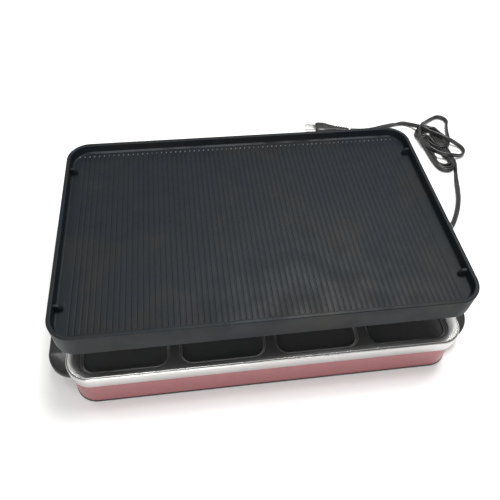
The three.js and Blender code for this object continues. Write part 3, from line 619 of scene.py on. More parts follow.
def planned_cord():
    """The route before settling: seen places, real ones, the flat section's direction, and what is held."""
    lead, tail = moved_along_sight(CORD_LEAD, -1), moved_along_sight(CORD_TAIL, -1)
    hank = [hank_point(turn) for turn in np.arange(HANK_START, HANK_TURNS, 1 / 16)]
    seen = smooth_curve(np.vstack([lead, hank, CORD_LOOPS, tail]), 24)
    real = moved_along_sight(seen, 1)
    level, true = lengths_along(seen * (1, 1, 0)), lengths_along(real)
    landed = nearest(real, CORD_LEAD[LEAD_LANDS])
    marks = level - level[landed] + true[landed]
    marks[:landed] = true[:landed]
    stations = np.arange(0, marks[-1], STEP)
    seen_even = np.column_stack([np.interp(stations, marks, seen[:, k]) for k in range(3)])
    centres = moved_along_sight(seen_even, 1)
    enter, leave = marks[nearest(real, CORD_LEAD[-2])], marks[nearest(real, CORD_TAIL[1])]
    turning = [enter - TURN_IN, enter + TURN_IN, leave - TURN_OUT, leave]
    turn = np.radians(np.interp(stations, turning, [0, 90, 90, 180]))
    sides, ups = frame_along(centres)
    across = sides * np.cos(turn)[:, None] + ups * np.sin(turn)[:, None]
    held = (stations < true[landed]) | (stations > marks[nearest(real, CORD_TAIL[TAIL_HELD_FROM])])
    return seen_even, centres, across, held


def spring(gap, rest, give):
    """The share of each gap that brings it nearer to its resting length."""
    length = np.linalg.norm(gap, axis=1)[:, None]
    return (length - rest) / np.maximum(length, 1e-6) * give * gap


def pair_moves(points, apart, rest, give, push_only=False):
    """Moves that bring places some steps apart nearer to their resting distance."""
    gap = points[apart:] - points[:-apart]
    if push_only:
        rest = np.maximum(rest, np.linalg.norm(gap, axis=1)[:, None])
    change = spring(gap, rest, give)
    moves = np.zeros_like(points)
    moves[:-apart] += change
    moves[apart:] -= change
    return moves


def straightened(points, reach):
    """Moves to the middle between the places a few steps away on both sides."""
    moves = np.zeros_like(points)
    moves[reach:-reach] = (points[:-2 * reach] + points[2 * reach:]) / 2 - points[reach:-reach]
    return moves


def averaged(rows):
    """Each row as the mean of five about it, except at the ends."""
    result = rows.copy()
    result[2:-2] = (rows[:-4] + rows[1:-3] + rows[2:-2] + rows[3:-1] + rows[4:]) / 5
    return result


def close_pairs(points, reach):
    """Pairs of places nearer than the reach, leaving out neighbours along the cord."""
    count = len(points) // 2
    square = (points ** 2).sum(axis=1)
    near = square[:, None] + square - 2 * points @ points.T < reach ** 2
    first, second = np.nonzero(np.triu(near, 1))
    apart = np.abs(first % count - second % count) > 4
    return first[apart], second[apart]


def settle_cord(rounds=700):
    """Two cores side by side, let down on the table and each other along the planned route."""
    seen, centres, across, held = planned_cord()
    count = len(centres)
    cores = np.concatenate([centres + CORE_OFFSET * across, centres - CORE_OFFSET * across])
    left, right = cores[:count], cores[count:]
    held_cores, free = np.concatenate([held, held]), (~held)[:, None]
    for turn in range(rounds):
        cores[~held_cores, 2] -= DROP if turn < rounds * 0.75 else LAST_DROP
        middle = (left + right) / 2
        wanted = seen[:, :2] + (SIGHT_LEVEL - middle[:, 2:]) * SIGHT
        pull = (wanted - middle[:, :2]) * (PULL if turn < rounds * 0.8 else LAST_PULL) * free
        left[:, :2] += pull
        right[:, :2] += pull
        if turn % 5 == 0:
            first, second = close_pairs(cores, CORE_CLEARANCE + 4)
        for _ in range(3):
            for core in (left, right):
                core += pair_moves(core, 1, STEP, 0.10) * free
            change = spring(left - right, 2 * CORE_OFFSET, 0.5) * free
            left -= change
            right += change
            for core in (left, right):
                core += straightened(core, 3) * free * (0.006, 0.006, 0.10)
                core += straightened(core, 1) * free * 0.25
            gap = cores[first] - cores[second]
            near = np.linalg.norm(gap, axis=1) <= CORE_CLEARANCE
            change = spring(gap[near], CORE_CLEARANCE, 0.25)
            moves, touches = np.zeros_like(cores), np.zeros(len(cores))
            for ends, way in ((first[near], -1), (second[near], 1)):
                np.add.at(moves, ends, way * change)
                np.add.at(touches, ends, 1)
            moves[held_cores] = 0
            cores += moves / np.maximum(touches, 1)[:, None] ** 0.5
            gap, middle = left - right, (left + right) / 2
            gap = 0.6 * averaged(gap) + 0.4 * gap
            gap = unit(gap + 0.10 * (2 * CORE_OFFSET * across - gap)) * CORE_OFFSET
            left[:], right[:] = middle + gap, middle - gap
            cores[:, 2] = np.maximum(cores[:, 2], CORE_FLOOR)
    return (left + right) / 2, unit(left - right)


def open_folds(centres, rounds=500, ends=14):
    """Pushes places a few steps apart away from each other, which opens folds tighter than the radius.

    It doesn't keep strands apart, so it leaves some of them passing through each other.
    """
    centres = centres.copy()
    lengths = np.linalg.norm(np.diff(centres, axis=0), axis=1)[:, None]
    free = np.ones((len(centres), 1))
    free[:ends] = free[-ends:] = 0
    for _ in range(rounds):
        for apart in (4, 7, 10, 14):
            chord = 2 * FOLD_RADIUS * math.sin(apart * STEP / 2 / FOLD_RADIUS) * 0.995
            centres += pair_moves(centres, apart, chord, 0.175, push_only=True) * free
        for _ in range(3):
            moves = pair_moves(centres, 1, lengths, 0.3)
            moves[1:-1] *= 0.5
            centres += moves * free
    return centres


def cord_rows():
    """Stations of the whole cord, boot to plug (0.1 mm), with its flat section's turn (whole degrees)."""
    centres, across = settle_cord()
    sides, ups = frame_along(centres)
    turn = np.unwrap(2 * np.arctan2((across * ups).sum(axis=1), (across * sides).sum(axis=1))) / 2
    window = np.hanning(21)[1:-1]
    turn = np.convolve(np.pad(turn, 9, mode="edge"), window / window.sum(), "valid")
    centres = open_folds(centres)
    lowest = CORE_OFFSET * np.abs(np.sin(turn)) + CORE_RADIUS + FLOOR_MARGIN
    height = centres[:, 2]
    for _ in range(3):
        height = np.maximum(height, lowest)
        height = np.where(height < lowest + 1.5, averaged(height), height)
    centres[:, 2] = np.maximum(height, lowest)
    picked = np.round(np.linspace(0, len(centres) - 1, (len(centres) - 1) // 4 + 1)).astype(int)
    return np.column_stack([centres.round(1), np.degrees(turn).round()])[picked]


def cord_section():
    """Two round cores side by side with a groove between them, (across, through) in mm."""
    right = [(CORE_OFFSET + CORE_RADIUS * math.cos(math.radians(d)), CORE_RADIUS * math.sin(math.radians(d)))
             for d in range(-120, 121, 30)]
    groove = 1.25
    left = [(-u, -v) for u, v in right]
    return right + [(0, groove)] + left + [(0, -groove)]


def resample(rows, step):
    """Smooth stations along the route: position, and its section's turn about the route, evenly spaced."""
    points = np.array(rows, float)
    padded = np.vstack([2 * points[0] - points[1], points, 2 * points[-1] - points[-2]])
    dense = []
    for p0, p1, p2, p3 in zip(padded, padded[1:], padded[2:], padded[3:]):
        for t in np.linspace(0, 1, 12, endpoint=False):
            dense.append(0.5 * (2 * p1 + (p2 - p0) * t + (2 * p0 - 5 * p1 + 4 * p2 - p3) * t * t
                                + (3 * p1 - p0 - 3 * p2 + p3) * t ** 3))
    dense.append(points[-1])
    dense = np.array(dense)
    along = lengths_along(dense[:, :3])
    marks = np.linspace(0, along[-1], int(along[-1] / step) + 1)
    return np.column_stack([np.interp(marks, along, dense[:, k]) for k in range(4)]), along[-1]


def sweep_flat(bm, rows, section, step=1.6):
    """A tube of the given section along the route, standing as turned about it."""
    stations, length = resample(rows, step)
    centres = stations[:, :3]
    sides, ups = frame_along(centres)
    loops = []
    for centre, side, up, turn in zip(centres, sides, ups, np.radians(stations[:, 3])):
        across = side * math.cos(turn) + up * math.sin(turn)
        through = up * math.cos(turn) - side * math.sin(turn)
        loops.append([tuple(centre + across * u + through * v) for u, v in section])
    bridge(bm, loops, caps=(True, True))
    return centres * MM, length * MM


def plug_frame():
    """From the plug's own axes, blades along +X from its front face, to the row frame, in mm."""
    return Matrix.Translation((PLUG_X, PLUG_Y, 0)) @ Matrix.Rotation(math.radians(PLUG_TURN), 4, "Z")


def make_plug():
    """Moulded body with a waist, finger grooves and a ringed tail, drawn along its own -X."""
    bm = bmesh.new()
    stations = [
        (-0.0, 9.6, 4.6), (-0.6, 10.8, 5.8), (-2.2, 11.7, 6.6), (-6, 11.9, 6.9), (-12, 11.7, 6.9),
        (-17, 10.6, 6.6), (-21, 9.0, 6.1), (-25, 7.6, 5.7), (-28, 6.9, 5.5), (-29, 6.6, 5.3),
    ]
    for ring in range(6):
        x = -29.6 - 4.3 * ring
        wide = 6.5 - 0.42 * ring
        high = 5.2 - 0.42 * ring
        stations += [(x, wide, high), (x - 2.4, wide - 0.25, high - 0.2),
                     (x - 2.7, wide - 1.15, high - 1.0), (x - 4.0, wide - 1.25, high - 1.05)]
    stations += [(-55.6, 4.1, 2.7), (-56, 3.6, 2.2)]
    loops = []
    for x, wide, high in stations:
        ring = []
        for k in range(36):
            a = 2 * math.pi * k / 36
            c, s = math.cos(a), math.sin(a)
            power = 0.55
            y = wide * math.copysign(abs(c) ** power, c)
            z = high * math.copysign(abs(s) ** power, s)
            ring.append((x, y, PLUG_Z + z))
        loops.append(ring)
    bridge(bm, loops, caps=(True, True))
    for y in (-1, 1):
        for k in range(4):
            x = -5 - 2.6 * k
            ridge = [[(x + u, y * 11.2 + y * v, PLUG_Z + z) for u, v in
                      ((-0.8, 0), (-0.45, 0.75), (0.45, 0.75), (0.8, 0))] for z in (-4.2, -3.6, 3.6, 4.2)]
            bridge(bm, ridge, caps=(True, True))
    bm.transform(plug_frame())
    return piece("plug_moulding", bm, CORD_BLACK, "base", ("plug_body",), 40)


def make_blade(index, side):
    """A flat blade with a tapered tip and a locking hole."""
    bm = bmesh.new()
    half = BLADE_HEIGHT / 2
    outline = [(-1.0, -half), (BLADE_LENGTH - 2.2, -half), (BLADE_LENGTH, -half + 1.6),
               (BLADE_LENGTH, half - 1.6), (BLADE_LENGTH - 2.2, half), (-1.0, half)]
    hole = [(BLADE_LENGTH - 4.6 + 1.5 * math.cos(a), 1.5 * math.sin(a))
            for a in [2 * math.pi * k / 20 for k in range(20)]]
    y = side * BLADE_SPACING / 2
    thick = BLADE_THICKNESS / 2
    rings = {}
    for face_y in (y - thick, y + thick):
        edges = []
        for loop in (outline, hole):
            verts = [bm.verts.new((x, face_y, PLUG_Z + z)) for x, z in loop]
            rings.setdefault(id(loop), []).append(verts)
            edges += [bm.edges.new((a, b)) for a, b in zip(verts, verts[1:] + verts[:1])]
        bmesh.ops.triangle_fill(bm, edges=edges, use_beauty=True)
    for a, b in rings.values():
        for i in range(len(a)):
            j = (i + 1) % len(a)
            bm.faces.new((a[i], a[j], b[j], b[i]))
    bm.transform(plug_frame())
    return piece(f"plug_prong_{index}", bm, BLADE_STEEL, "base",
                 (f"plug_blade_{index}",), 40)


def make_strain_relief():
    """Flanged grommet with a ribbed, tapering sleeve out of the tower."""
    bm = bmesh.new()
    profile = [(0.01, 217.0), (6.6, 217.0), (7.1, 217.4), (7.1, 219.1), (5.0, 219.3), (5.0, 222.3),
               (7.2, 222.35), (7.6, 222.8), (7.5, 224.2), (6.9, 224.8)]
    for k in range(5):
        x = 225.4 + 3.2 * k
        radius = 6.1 - 0.33 * k
        profile += [(radius, x), (radius - 0.12, x + 1.7), (radius - 1.0, x + 2.0), (radius - 1.05, x + 2.8)]
    profile += [(4.5, 241.4), (4.1, 242.0), (0.01, 242.0)]
    bridge(bm, lathe_loops(profile, "x", (CORD_EXIT_Y, CORD_EXIT_Z)), caps=(True, True))
    return piece("cord_boot", bm, RUBBER, "base", ("cord_strain_relief",), 45)


cord_mesh = bmesh.new()
cord_path, cord_length = sweep_flat(cord_mesh, cord_rows(), cord_section())
cord = piece("flat_cord", cord_mesh, CORD_BLACK, "base",
             ("cord_lead", "cord_bundle", "cord_tail"), 60)
boot = make_strain_relief()
plug = make_plug()
prongs = [make_blade(1, -1), make_blade(2, 1)]


# ---------- cooking plate ----------
def groove_ring(x, half_width, reach, level):
    """Outline of one groove, with round ends, at one level."""
    ring = []
    for sign, y in ((1, reach - half_width), (-1, -reach + half_width)):
        for k in range(9):
            a = math.pi * k / 8
            ring.append((x + sign * half_width * math.cos(a), y + sign * half_width * math.sin(a), level))
    return ring


def make_plate():
    """The dish: a skirted rim, rounded edges, and a flat floor cut by sixty-eight fine grooves."""
    bm = bmesh.new()
    profile = fillet([
        (30, FLOOR_BOTTOM), (PLATE_WALL, FLOOR_BOTTOM, 2.5), (PLATE_WALL, PLATE_BOTTOM, 0.9),
        (0, PLATE_BOTTOM, 1.2), (0, PLATE_TOP, 1.1), (PLATE_WALL, PLATE_TOP, 1.1),
        (PLATE_WALL + 0.3, FLOOR_TOP, 2.5), (10, FLOOR_TOP)], steps=5)[:-1]
    floor_edge = bridge(bm, frame_loops(PLATE, profile, 16), caps=(True, False))[-1]
    openings = []
    mouth, root, deep = GROOVE_MOUTH / 2, GROOVE_ROOT / 2, GROOVE_DEPTH
    section = [(mouth + 0.25, 0, 0), (mouth, -0.14 * deep, 0.15), (root + 0.15, -0.8 * deep, 0.7),
               (root - 0.1, -deep, 1.1)]
    for index in range(GROOVE_COUNT):
        x = (index - (GROOVE_COUNT - 1) / 2) * GROOVE_PITCH
        loops = [groove_ring(x, half, GROOVE_REACH - back, FLOOR_TOP + drop) for half, drop, back in section]
        openings.append(bridge(bm, loops, caps=(False, True))[0])
    fill_between(bm, floor_edge, openings)
    plate = piece("cooking_plate", bm, COATING, "plate", ("grill_plate",), 40)
    flat_normals(plate)
    return plate


def make_lugs():
    """Thin quarter-round fins inside the end walls, and half-round bosses under the floor."""
    bm = bmesh.new()
    wall = PLATE["length"] / 2 - PLATE_WALL
    for side in (-1, 1):
        for y in (-LUG_Y, LUG_Y):
            outline = [(wall + 0.4, FLOOR_TOP - 0.4), (wall + 0.4, FLOOR_TOP + GUSSET_HEIGHT),
                       (wall - GUSSET_FLAT, FLOOR_TOP + GUSSET_HEIGHT)]
            for k in range(1, 9):
                a = math.pi / 2 * k / 8
                outline.append((wall - GUSSET_FLAT - (GUSSET_REACH - GUSSET_FLAT) * math.sin(a),
                                FLOOR_TOP + 0.6 + (GUSSET_HEIGHT - 0.6) * math.cos(a)))
            outline.append((wall - GUSSET_REACH, FLOOR_TOP - 0.4))
            half = GUSSET_THICKNESS / 2
            bridge(bm, [[(side * u, y + v, w) for u, w in outline] for v in (-half, half)], caps=(True, True))
            loops = []
            high, low = FLOOR_BOTTOM + 0.3, FLOOR_BOTTOM + 0.3 - LUG_HEIGHT
            tip = wall - LUG_REACH + LUG_WIDTH / 2
            for inset, level in fillet([(4.4, high), (0, high, 0.3), (0, low, 1.0), (4.4, low)]):
                radius = LUG_WIDTH / 2 - inset
                ring = [(wall + 0.4, -radius), (wall + 0.4, radius)]
                for k in range(1, 12):
                    a = math.pi / 2 + math.pi * k / 12
                    ring.append((tip + radius * math.cos(a), radius * math.sin(a)))
                loops.append([(side * u, y + v, level) for u, v in ring])
            bridge(bm, loops, caps=(True, True))
    lugs = piece("plate_lugs", bm, COATING, "plate", (), 45)
    edges = lugs.modifiers.new("edges", "BEVEL")
    edges.width = 0.7 * MM
    edges.segments = 3
    edges.limit_method = "ANGLE"
    apply_modifiers(lugs)
    return lugs


make_plate()
make_lugs()


# ---------- pan tray and trim band ----------
def well_places():
    return [((column - 1.5) * WELL_PITCH_X, (row - 0.5) * WELL_PITCH_Y)
            for row in (0, 1) for column in range(4)]


def make_tray():
    """One pressed sheet: a rolled skirt, a flat deck and eight wells with softly crowned floors."""
    bm = bmesh.new()
    edge = fillet([(TRAY_INSET, TRAY_SKIRT), (TRAY_INSET, TRAY_TOP, 0.3), (5, TRAY_TOP)], steps=3)
    deck_edge = bridge(bm, frame_loops(BAND, edge, 14))[-1]
    openings = []
    lip = fillet([(2.0, 0), (0, 0, 1.6), (-2.4, -WELL_DROP, 2.8), (-WELL_FLAT, -WELL_DROP)], steps=6)
    half_x, half_y = WELL_LENGTH / 2, WELL_DEPTH / 2
    for cx, cy in well_places():
        loops = []
        for grow, drop in lip:
            outline = rounded_outline(WELL_LENGTH + 2 * grow, WELL_DEPTH + 2 * grow,
                                      WELL_RADIUS + grow, 8, (cx, cy), straight=8)
            loops.append([(x, y, TRAY_TOP + drop) for x, y in outline])
        last = loops[-1]
        for part in (0.92, 0.8, 0.65, 0.5, 0.35, 0.2, 0.08):
            ring = []
            for x, y, _ in last:
                px, py = (x - cx) * part, (y - cy) * part
                crown = (1 - (px / (half_x - WELL_FLAT)) ** 2) * (1 - (py / (half_y - WELL_FLAT)) ** 2)
                ring.append((cx + px, cy + py, TRAY_TOP - WELL_DROP + WELL_CROWN * max(crown, 0)))
            loops.append(ring)
        openings.append(bridge(bm, loops, caps=(False, True))[0])
    fill_between(bm, deck_edge, openings)
    tray = piece("pressed_tray", bm, STEEL_BRIGHT, "base", ("pan_tray",), 60)
    solid = tray.modifiers.new("sheet", "SOLIDIFY")
    solid.thickness = TRAY_SHEET * MM
    solid.offset = -1
    flat_normals(tray)
    return tray


def make_band():
    """Polished wall under the tray's lip, its inner ledge and the leg down inside the housing."""
    bm = bmesh.new()
    profile = fillet([
        (0, BAND_BOTTOM, 0.7), (0, BAND_TOP, 0.8),
        (BAND_WALL, BAND_TOP, 0.7), (BAND_WALL, BAND_SHELF_TOP, 0.5),
        (BAND_LEG_INNER, BAND_SHELF_TOP, 0.5), (BAND_LEG_INNER, BAND_LEG_BOTTOM, 0.5),
        (BAND_LEG_OUTER, BAND_LEG_BOTTOM, 0.5), (BAND_LEG_OUTER, BAND_SHELF_BOTTOM, 0.4),
        (BAND_WALL, BAND_SHELF_BOTTOM, 0.4), (BAND_WALL, BAND_BOTTOM, 0.7)], closed=True, steps=3)
    bridge(bm, frame_loops(BAND, profile, 14), closed=True)
    return piece("trim_wall", bm, STEEL_BAND, "base", ("trim_band",), 45)


make_tray()
make_band()


# ---------- base ----------
def make_housing():
    """Pressed red shell with a rolled lower hem, and an inner ledge for the cover."""
    bm = bmesh.new()
    profile = fillet([
        (0, BASE_TOP, 0.5), (0, HEM_TOP + 0.5, 0.6), (-HEM_SWELL, HEM_TOP - 0.4, 0.7),
        (-HEM_SWELL, BASE_BOTTOM + 0.4, 0.7), (0.4, BASE_BOTTOM, 0.3), (BASE_WALL, BASE_BOTTOM, 0.5),
        (BASE_WALL, LEDGE_BOTTOM, 0.6), (LEDGE_WIDTH, LEDGE_BOTTOM, 0.4), (LEDGE_WIDTH, LEDGE_TOP, 0.4),
        (BASE_WALL, LEDGE_TOP, 2.0), (BASE_WALL, BASE_TOP, 0.5)], closed=True, steps=4)
    bridge(bm, frame_loops(BASE, profile, 14), closed=True)
    return piece("red_housing", bm, RED, "base", ("base_housing",), 45)


def make_shade_ring():
    """Black ring under the hem, painted shade that makes the dark line there (a guess), run up inside the
    shell to the cover.
    """
    bm = bmesh.new()
    profile = fillet([
        (-SHADE_RING_LIP, 0.3, 0.3), (-SHADE_RING_LIP, BASE_BOTTOM - 0.15, 0.3),
        (BASE_WALL + 0.5, BASE_BOTTOM - 0.15, 0.1), (BASE_WALL + 0.5, COVER_BOTTOM - 0.1, 0.2),
        (BASE_WALL + 1.8, COVER_BOTTOM - 0.1, 0.2), (BASE_WALL + 1.8, 0.3, 0.3)], closed=True, steps=3)
    bridge(bm, frame_loops(BASE, profile, 14), closed=True)
    return piece("base_shade_ring", bm, RUBBER, "base", (), 45)


def make_feet():
    index = 0
    for y in (-FOOT_Y, FOOT_Y):
        for x in (-FOOT_X, FOOT_X):
            index += 1
            bm = bmesh.new()
            profile = fillet([(2.2, 2.4), (4.3, 2.4, 0.3), (4.3, 0, 0.4), (7.4, 0, 0.9), (FOOT_RADIUS, 2, 1),
                              (7.5, FOOT_HEIGHT, 0.4), (2.2, FOOT_HEIGHT, 0.3)], closed=True, steps=3)
            bridge(bm, lathe_loops(profile, "z", (x, y)), closed=True)
            piece(f"rubber_foot_{index}", bm, RUBBER, "base", (f"foot_{index}",), 45)
            softened(f"foot_fixing_{index}", f"foot_screw_{index}", STEEL_PLAIN, "base", 0.25)


make_housing()
make_shade_ring()
make_feet()


# ---------- handles ----------
def handle_level(y, level, drop=6.0):
    """The handle's top is level along the side and falls away past its corners."""
    beyond = max(abs(y) - HANDLE_LEVEL_Y, 0) / (HANDLE_CORNER_Y + HANDLE_CORNER - HANDLE_LEVEL_Y)
    return level - drop * min(beyond, 1.0) ** 1.1


def handle_ring(inset, z, back, follow):
    """Outline of the D-shaped handle drawn in by an inset, closed by a straight line at the back."""
    radius = HANDLE_CORNER - inset
    centre_x = HANDLE_OUTER - HANDLE_CORNER
    start = math.acos((back - centre_x) / radius)
    arc = [start * k / 14 for k in range(15)]
    points = [(centre_x + radius * math.cos(a), -HANDLE_CORNER_Y - radius * math.sin(a)) for a in arc[::-1]]
    points += [(centre_x + radius, HANDLE_CORNER_Y * (k / 6 - 1)) for k in range(1, 12)]
    points += [(centre_x + radius * math.cos(a), HANDLE_CORNER_Y + radius * math.sin(a)) for a in arc]
    last = points[-1][1]
    points += [(back, last * (1 - k / 12)) for k in range(1, 24)]
    return [(x, y, handle_level(y, z) if follow else z) for x, y in points]


def make_handle(side):
    """A hollow shell open below, with the plate that screws it to the end wall."""
    bm = bmesh.new()
    wall, back = HANDLE_WALL, HANDLE_BACK
    skin = fillet([(14, HANDLE_TOP), (0, HANDLE_TOP, 3.2), (0, HANDLE_BOTTOM, 1.2), (wall, HANDLE_BOTTOM)],
                  steps=5)
    lining = fillet([(wall, HANDLE_BOTTOM), (wall, HANDLE_TOP - wall, 2.0), (14, HANDLE_TOP - wall)], steps=5)
    loops = [handle_ring(inset, z, back, z > HANDLE_BOTTOM + 3.5) for inset, z in skin[:-1]]
    loops += [handle_ring(inset, z, back + wall, z > HANDLE_BOTTOM + 3.5) for inset, z in lining]
    bridge(bm, loops, caps=(True, True))
    slab = fillet([(0.8, 213.85), (0, 213.85, 0.3), (0, 216.9, 0.9), (1.6, 216.9)], steps=4)
    rings = []
    for inset, x in slab:
        outline = rounded_outline(200 - 2 * inset, 19.5 - 2 * inset, 4 - inset, 6, (0, 22))
        rings.append([(x, y, z) for y, z in outline])
    bridge(bm, rings, caps=(True, True))
    for y in (-HANDLE_SCREW_Y, HANDLE_SCREW_Y):
        boss = [(0.01, 216.5), (5, 216.5), (5, 225.5), (4.6, 226), (0.01, 226)]
        bridge(bm, lathe_loops(boss, "x", (y, 18), 24), caps=(True, True))
    turn = 0 if side == "right" else 180
    return piece(f"{side}_grip", bm, HANDLE_BLACK, "base", (f"{side}_handle",), 45, turn)


for end in ("right", "left"):
    make_handle(end)


# ---------- towers, shields and screws ----------
def make_screw(name, node, axis, centre, seat, end, turn=0):
    """A pan-head screw with a cross recess. The head stands off its seat, away from the shank's end."""
    away = 1 if seat > end else -1
    head = 3.6
    bm = bmesh.new()
    body = [(0.01, end), (0.9, end + away), (1.6, end + 2 * away), (1.6, seat), (head - 0.2, seat),
            (head, seat + 0.25 * away), (head, seat + 0.8 * away), (head - 0.5, seat + 1.5 * away),
            (head - 1.3, seat + 1.9 * away)]
    loops = lathe_loops(body, axis, centre)
    for level, reach in ((2.0, 1.0), (1.7, 0.96), (0.7, 0.6)):
        ring = []
        for k in range(32):
            a = 2 * math.pi * k / 32
            radius = reach * (0.55 + 1.2 * abs(math.cos(2 * a)) ** 5)
            u, v = radius * math.cos(a), radius * math.sin(a)
            ring.append({"z": (centre[0] + u, centre[1] + v, seat + level * away),
                         "x": (seat + level * away, centre[0] + u, centre[1] + v)}[axis])
        loops.append(ring)
    bridge(bm, loops, caps=(True, True))
    return piece(name, bm, STEEL_PLAIN, "base", (node,), 40, turn)


for end, turn in (("right", 0), ("left", 180)):
    softened(f"{end}_tower_shell", f"{end}_tower", TOWER_BLACK, "base", 1.0, 3)
    softened(f"{end}_shield_sheet", f"{end}_heat_shield", SHIELD_STEEL, "base", 0.25, 2)
    for index, y in ((1, -1), (2, 1)):
        make_screw(f"{end}_tower_fixing_{index}", f"{end}_tower_screw_{index}", "x",
                   (TOWER_SCREW_Y * y, TOWER_SCREW_Z), TOWER_FACE, TOWER_SCREW_END, turn=turn)
        make_screw(f"{end}_grip_fixing_{index}", f"{end}_handle_screw_{index}", "x",
                   (HANDLE_SCREW_Y * y, HANDLE_SCREW_Z), HANDLE_SCREW_SEAT, HANDLE_SCREW_END,
                   turn=turn)


# ---------- heating element and its frame ----------
def element_route():
    """A serpentine of four runs joined by three half-round bends, with both ends at the right."""
    radius = (ELEMENT_OUTER - ELEMENT_INNER) / 2
    rows = [(x, -ELEMENT_OUTER) for x in (ELEMENT_END, 100, -20, -120)]
    bends = ((ELEMENT_LEFT_BEND, -ELEMENT_OUTER, -1, (-100, 0, 100)),
             (ELEMENT_RIGHT_BEND, -ELEMENT_INNER, 1, (100, 0, -100)),
             (ELEMENT_LEFT_BEND, ELEMENT_INNER, -1, ()))
    for bend_x, low, bulge, run in bends:
        for k in range(13):
            a = math.pi * (k / 12 - 0.5)
            rows.append((bend_x + bulge * radius * math.cos(a), low + radius + radius * math.sin(a)))
        rows += [(x, low + 2 * radius) for x in run]
    rows += [(x, ELEMENT_OUTER) for x in (-120, -20, 100, ELEMENT_END)]
    return [(x, y, ELEMENT_Z, 0) for x, y in rows]


def round_section(radius, sides=14):
    return [(radius * math.cos(2 * math.pi * k / sides), radius * math.sin(2 * math.pi * k / sides))
            for k in range(sides)]


def make_element():
    bm = bmesh.new()
    sweep_flat(bm, element_route(), round_section(ELEMENT_RADIUS, 18), 4)
    return piece("element_tube", bm, SHEATH, "base", ("heating_element",), 60)


def make_pins():
    for name, side in (("front", -1), ("back", 1)):
        bm = bmesh.new()
        profile = [(0.01, 206.3), (1.6, 206.3), (1.8, 206.5), (1.8, 209.4), (1.4, 209.9), (0.01, 209.9)]
        bridge(bm, lathe_loops(profile, "x", (side * ELEMENT_OUTER, ELEMENT_Z), 20), caps=(True, True))
        piece(f"{name}_cold_pin", bm, STEEL_PLAIN, "base", (f"element_pin_{name}",), 40)


make_element()
make_pins()
for side in ("front", "back"):
    softened(f"{side}_rail_strip", f"{side}_support_rail", STEEL_PLAIN, "base", 0.3)
for index in (1, 2, 3):
    softened(f"cross_strip_{index}", f"cross_bar_{index}", STEEL_PLAIN, "base", 0.3)
for index in (1, 2, 3, 4):
    softened(f"element_saddle_{index}", f"element_clip_{index}", STEEL_PLAIN, "base", 0.2)


# ---------- heat control, pilot light and wiring ----------
def make_knob():
    """A fluted knob with a dished face, a skirt and a raised pointer."""
    bm = bmesh.new()
    profile = [(3.3, 231.0, 0), (3.3, 222.4, 0), (12.4, 222.4, 0), (13.0, 222.8, 0), (13.0, 224.2, 0),
               (12.4, 224.9, 0), (10.7, 225.3, 0.2), (10.5, 226.2, 1), (10.3, 233.6, 1), (10.0, 235.0, 0.8),
               (9.2, 235.8, 0.3), (8.2, 236.0, 0), (7.4, 235.6, 0), (4, 235.2, 0), (1.0, 235.2, 0)]
    loops = []
    for radius, level, flute in profile:
        ring = []
        for k in range(96):
            a = 2 * math.pi * k / 96
            r = radius - 0.75 * flute * (0.5 - 0.5 * math.cos(24 * a)) ** 0.7
            ring.append((level, KNOB_Y + r * math.cos(a), KNOB_Z + r * math.sin(a)))
        loops.append(ring)
    bridge(bm, loops, caps=(True, True))
    return piece("fluted_knob", bm, TOWER_BLACK, "knob", ("control_knob",), 35)


def make_pointer():
    """White index line on the knob's face and down its side."""
    bm = bmesh.new()
    loops = []
    for x, half, z in ((235.05, 0.5, 3.0), (235.5, 0.5, 3.0), (235.85, 0.5, 7.4), (236.0, 0.5, 8.4),
                       (235.3, 0.5, 9.9), (234.9, 0.5, 9.6)):
        loops.append([(x - 0.12, KNOB_Y - half, KNOB_Z + z), (x - 0.12, KNOB_Y + half, KNOB_Z + z),
                      (x, KNOB_Y + half * 0.8, KNOB_Z + z), (x, KNOB_Y - half * 0.8, KNOB_Z + z)])
    bridge(bm, loops, caps=(True, True))
    return piece("knob_pointer", bm, CERAMIC, "knob", (), 40)


def make_lens():
    bm = bmesh.new()
    profile = [(0.01, 217), (2.9, 217), (3.0, 217.2), (3, 222.3), (4.2, 222.35), (4.3, 222.7),
               (4.05, 223.3), (3.4, 223.9), (2.4, 224.3), (1.2, 224.47), (0.01, 224.5)]
    bridge(bm, lathe_loops(profile, "x", (LAMP_Y, LAMP_Z), 32), caps=(True, True))
    return piece("pilot_lens", bm, AMBER, "base", ("indicator_lens",), 50)


def make_lead(name, node, rows):
    bm = bmesh.new()
    sweep_flat(bm, [(*row, 0) for row in rows], round_section(1.2, 12), 1.2)
    return piece(name, bm, CORD_BLACK, "base", (node,), 60)


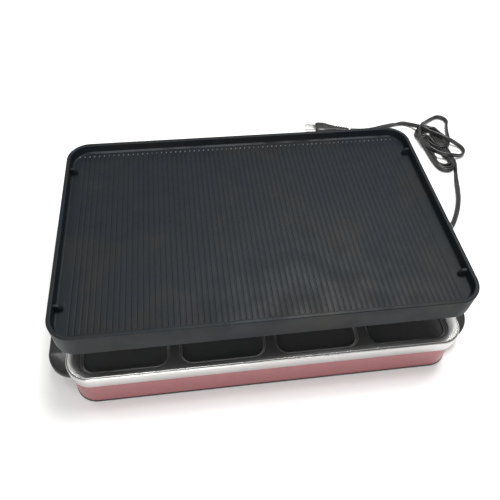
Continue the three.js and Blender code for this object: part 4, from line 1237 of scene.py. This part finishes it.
make_knob()
make_pointer()
make_lens()
softened("thermostat_case", "thermostat_body", CERAMIC, "base", 0.8)
softened("terminal_case", "terminal_block", CERAMIC, "base", 0.8)
softened("control_shaft", "thermostat_spindle", STEEL_PLAIN, "knob", 0.3)
softened("pilot_lamp", "indicator_lamp", CERAMIC, "base", 0.3)
make_lead("supply_wire", "supply_lead",
          [(216.3, 8, 66), (213.5, 9, 66), (209, 13, 66.5), (206, 19, 67.5), (205.5, 25, 68)])
make_lead("live_wire", "live_lead",
          [(205.5, 25, 73.5), (205.5, 15, 78.5), (205.5, -5, 80.5), (205.5, -20, 77), (205.5, -31, 73)])
make_lead("front_element_wire", "front_element_lead",
          [(206, -59, 74), (207, -64, 75), (212, -70, 79.5), (213.2, -74.4, 81), (213.5, -80, 78)])
make_lead("back_element_wire", "back_element_lead",
          [(206, 51, 72), (207, 56, 73), (210, 64, 77), (212.5, 70, 80), (213.5, 78, 78)])

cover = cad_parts["bottom_cover"]
cover.data.materials.clear()
cover.data.materials.append(STEEL_PLAIN)


# ---------- floor and lights ----------
def make_floor():
    mesh = bpy.data.meshes.new("floor")
    bm = bmesh.new()
    bmesh.ops.create_grid(bm, x_segments=4, y_segments=4, size=4.0)
    bm.to_mesh(mesh)
    bm.free()
    floor = bpy.data.objects.new("floor", mesh)
    floor.location.z = -0.0004
    s = Shader("floor", (0.86, 0.86, 0.85), 0.6)
    s.color(s.mix(s.ramp(s.noise(3, 3), 0.3, 0.7), (0.87, 0.87, 0.86), (0.84, 0.84, 0.835)))
    s.bump(s.noise(60, 3), 0.02, 0.001)
    mesh.materials.append(s.material)
    bpy.context.scene.collection.objects.link(floor)


def add_light(name, place, target, size, power):
    data = bpy.data.lights.new(name, "AREA")
    data.shape = "RECTANGLE"
    data.size = size
    data.size_y = size
    data.energy = power
    lamp = bpy.data.objects.new(name, data)
    lamp.location = place
    lamp.rotation_euler = (Vector(target) - Vector(place)).to_track_quat("-Z", "Y").to_euler()
    bpy.context.scene.collection.objects.link(lamp)


def add_world(strength):
    world = bpy.data.worlds.new("studio")
    world.use_nodes = True
    world.node_tree.nodes["Background"].inputs["Color"].default_value = (1, 1, 1, 1)
    world.node_tree.nodes["Background"].inputs["Strength"].default_value = strength
    bpy.context.scene.world = world


make_floor()
add_world(0.53)
add_light("key", (0.42, 0.5, 1.9), (0, 0, 0), 0.8, 44)
add_light("front", (-0.45, -2.0, 0.85), (0, 0, 0.05), 1.0, 31)
add_light("glint", (-0.84, 0.42, 1.9), (-0.2, 0, 0), 0.35, 3)
bpy.context.scene.view_settings.view_transform = "Standard"
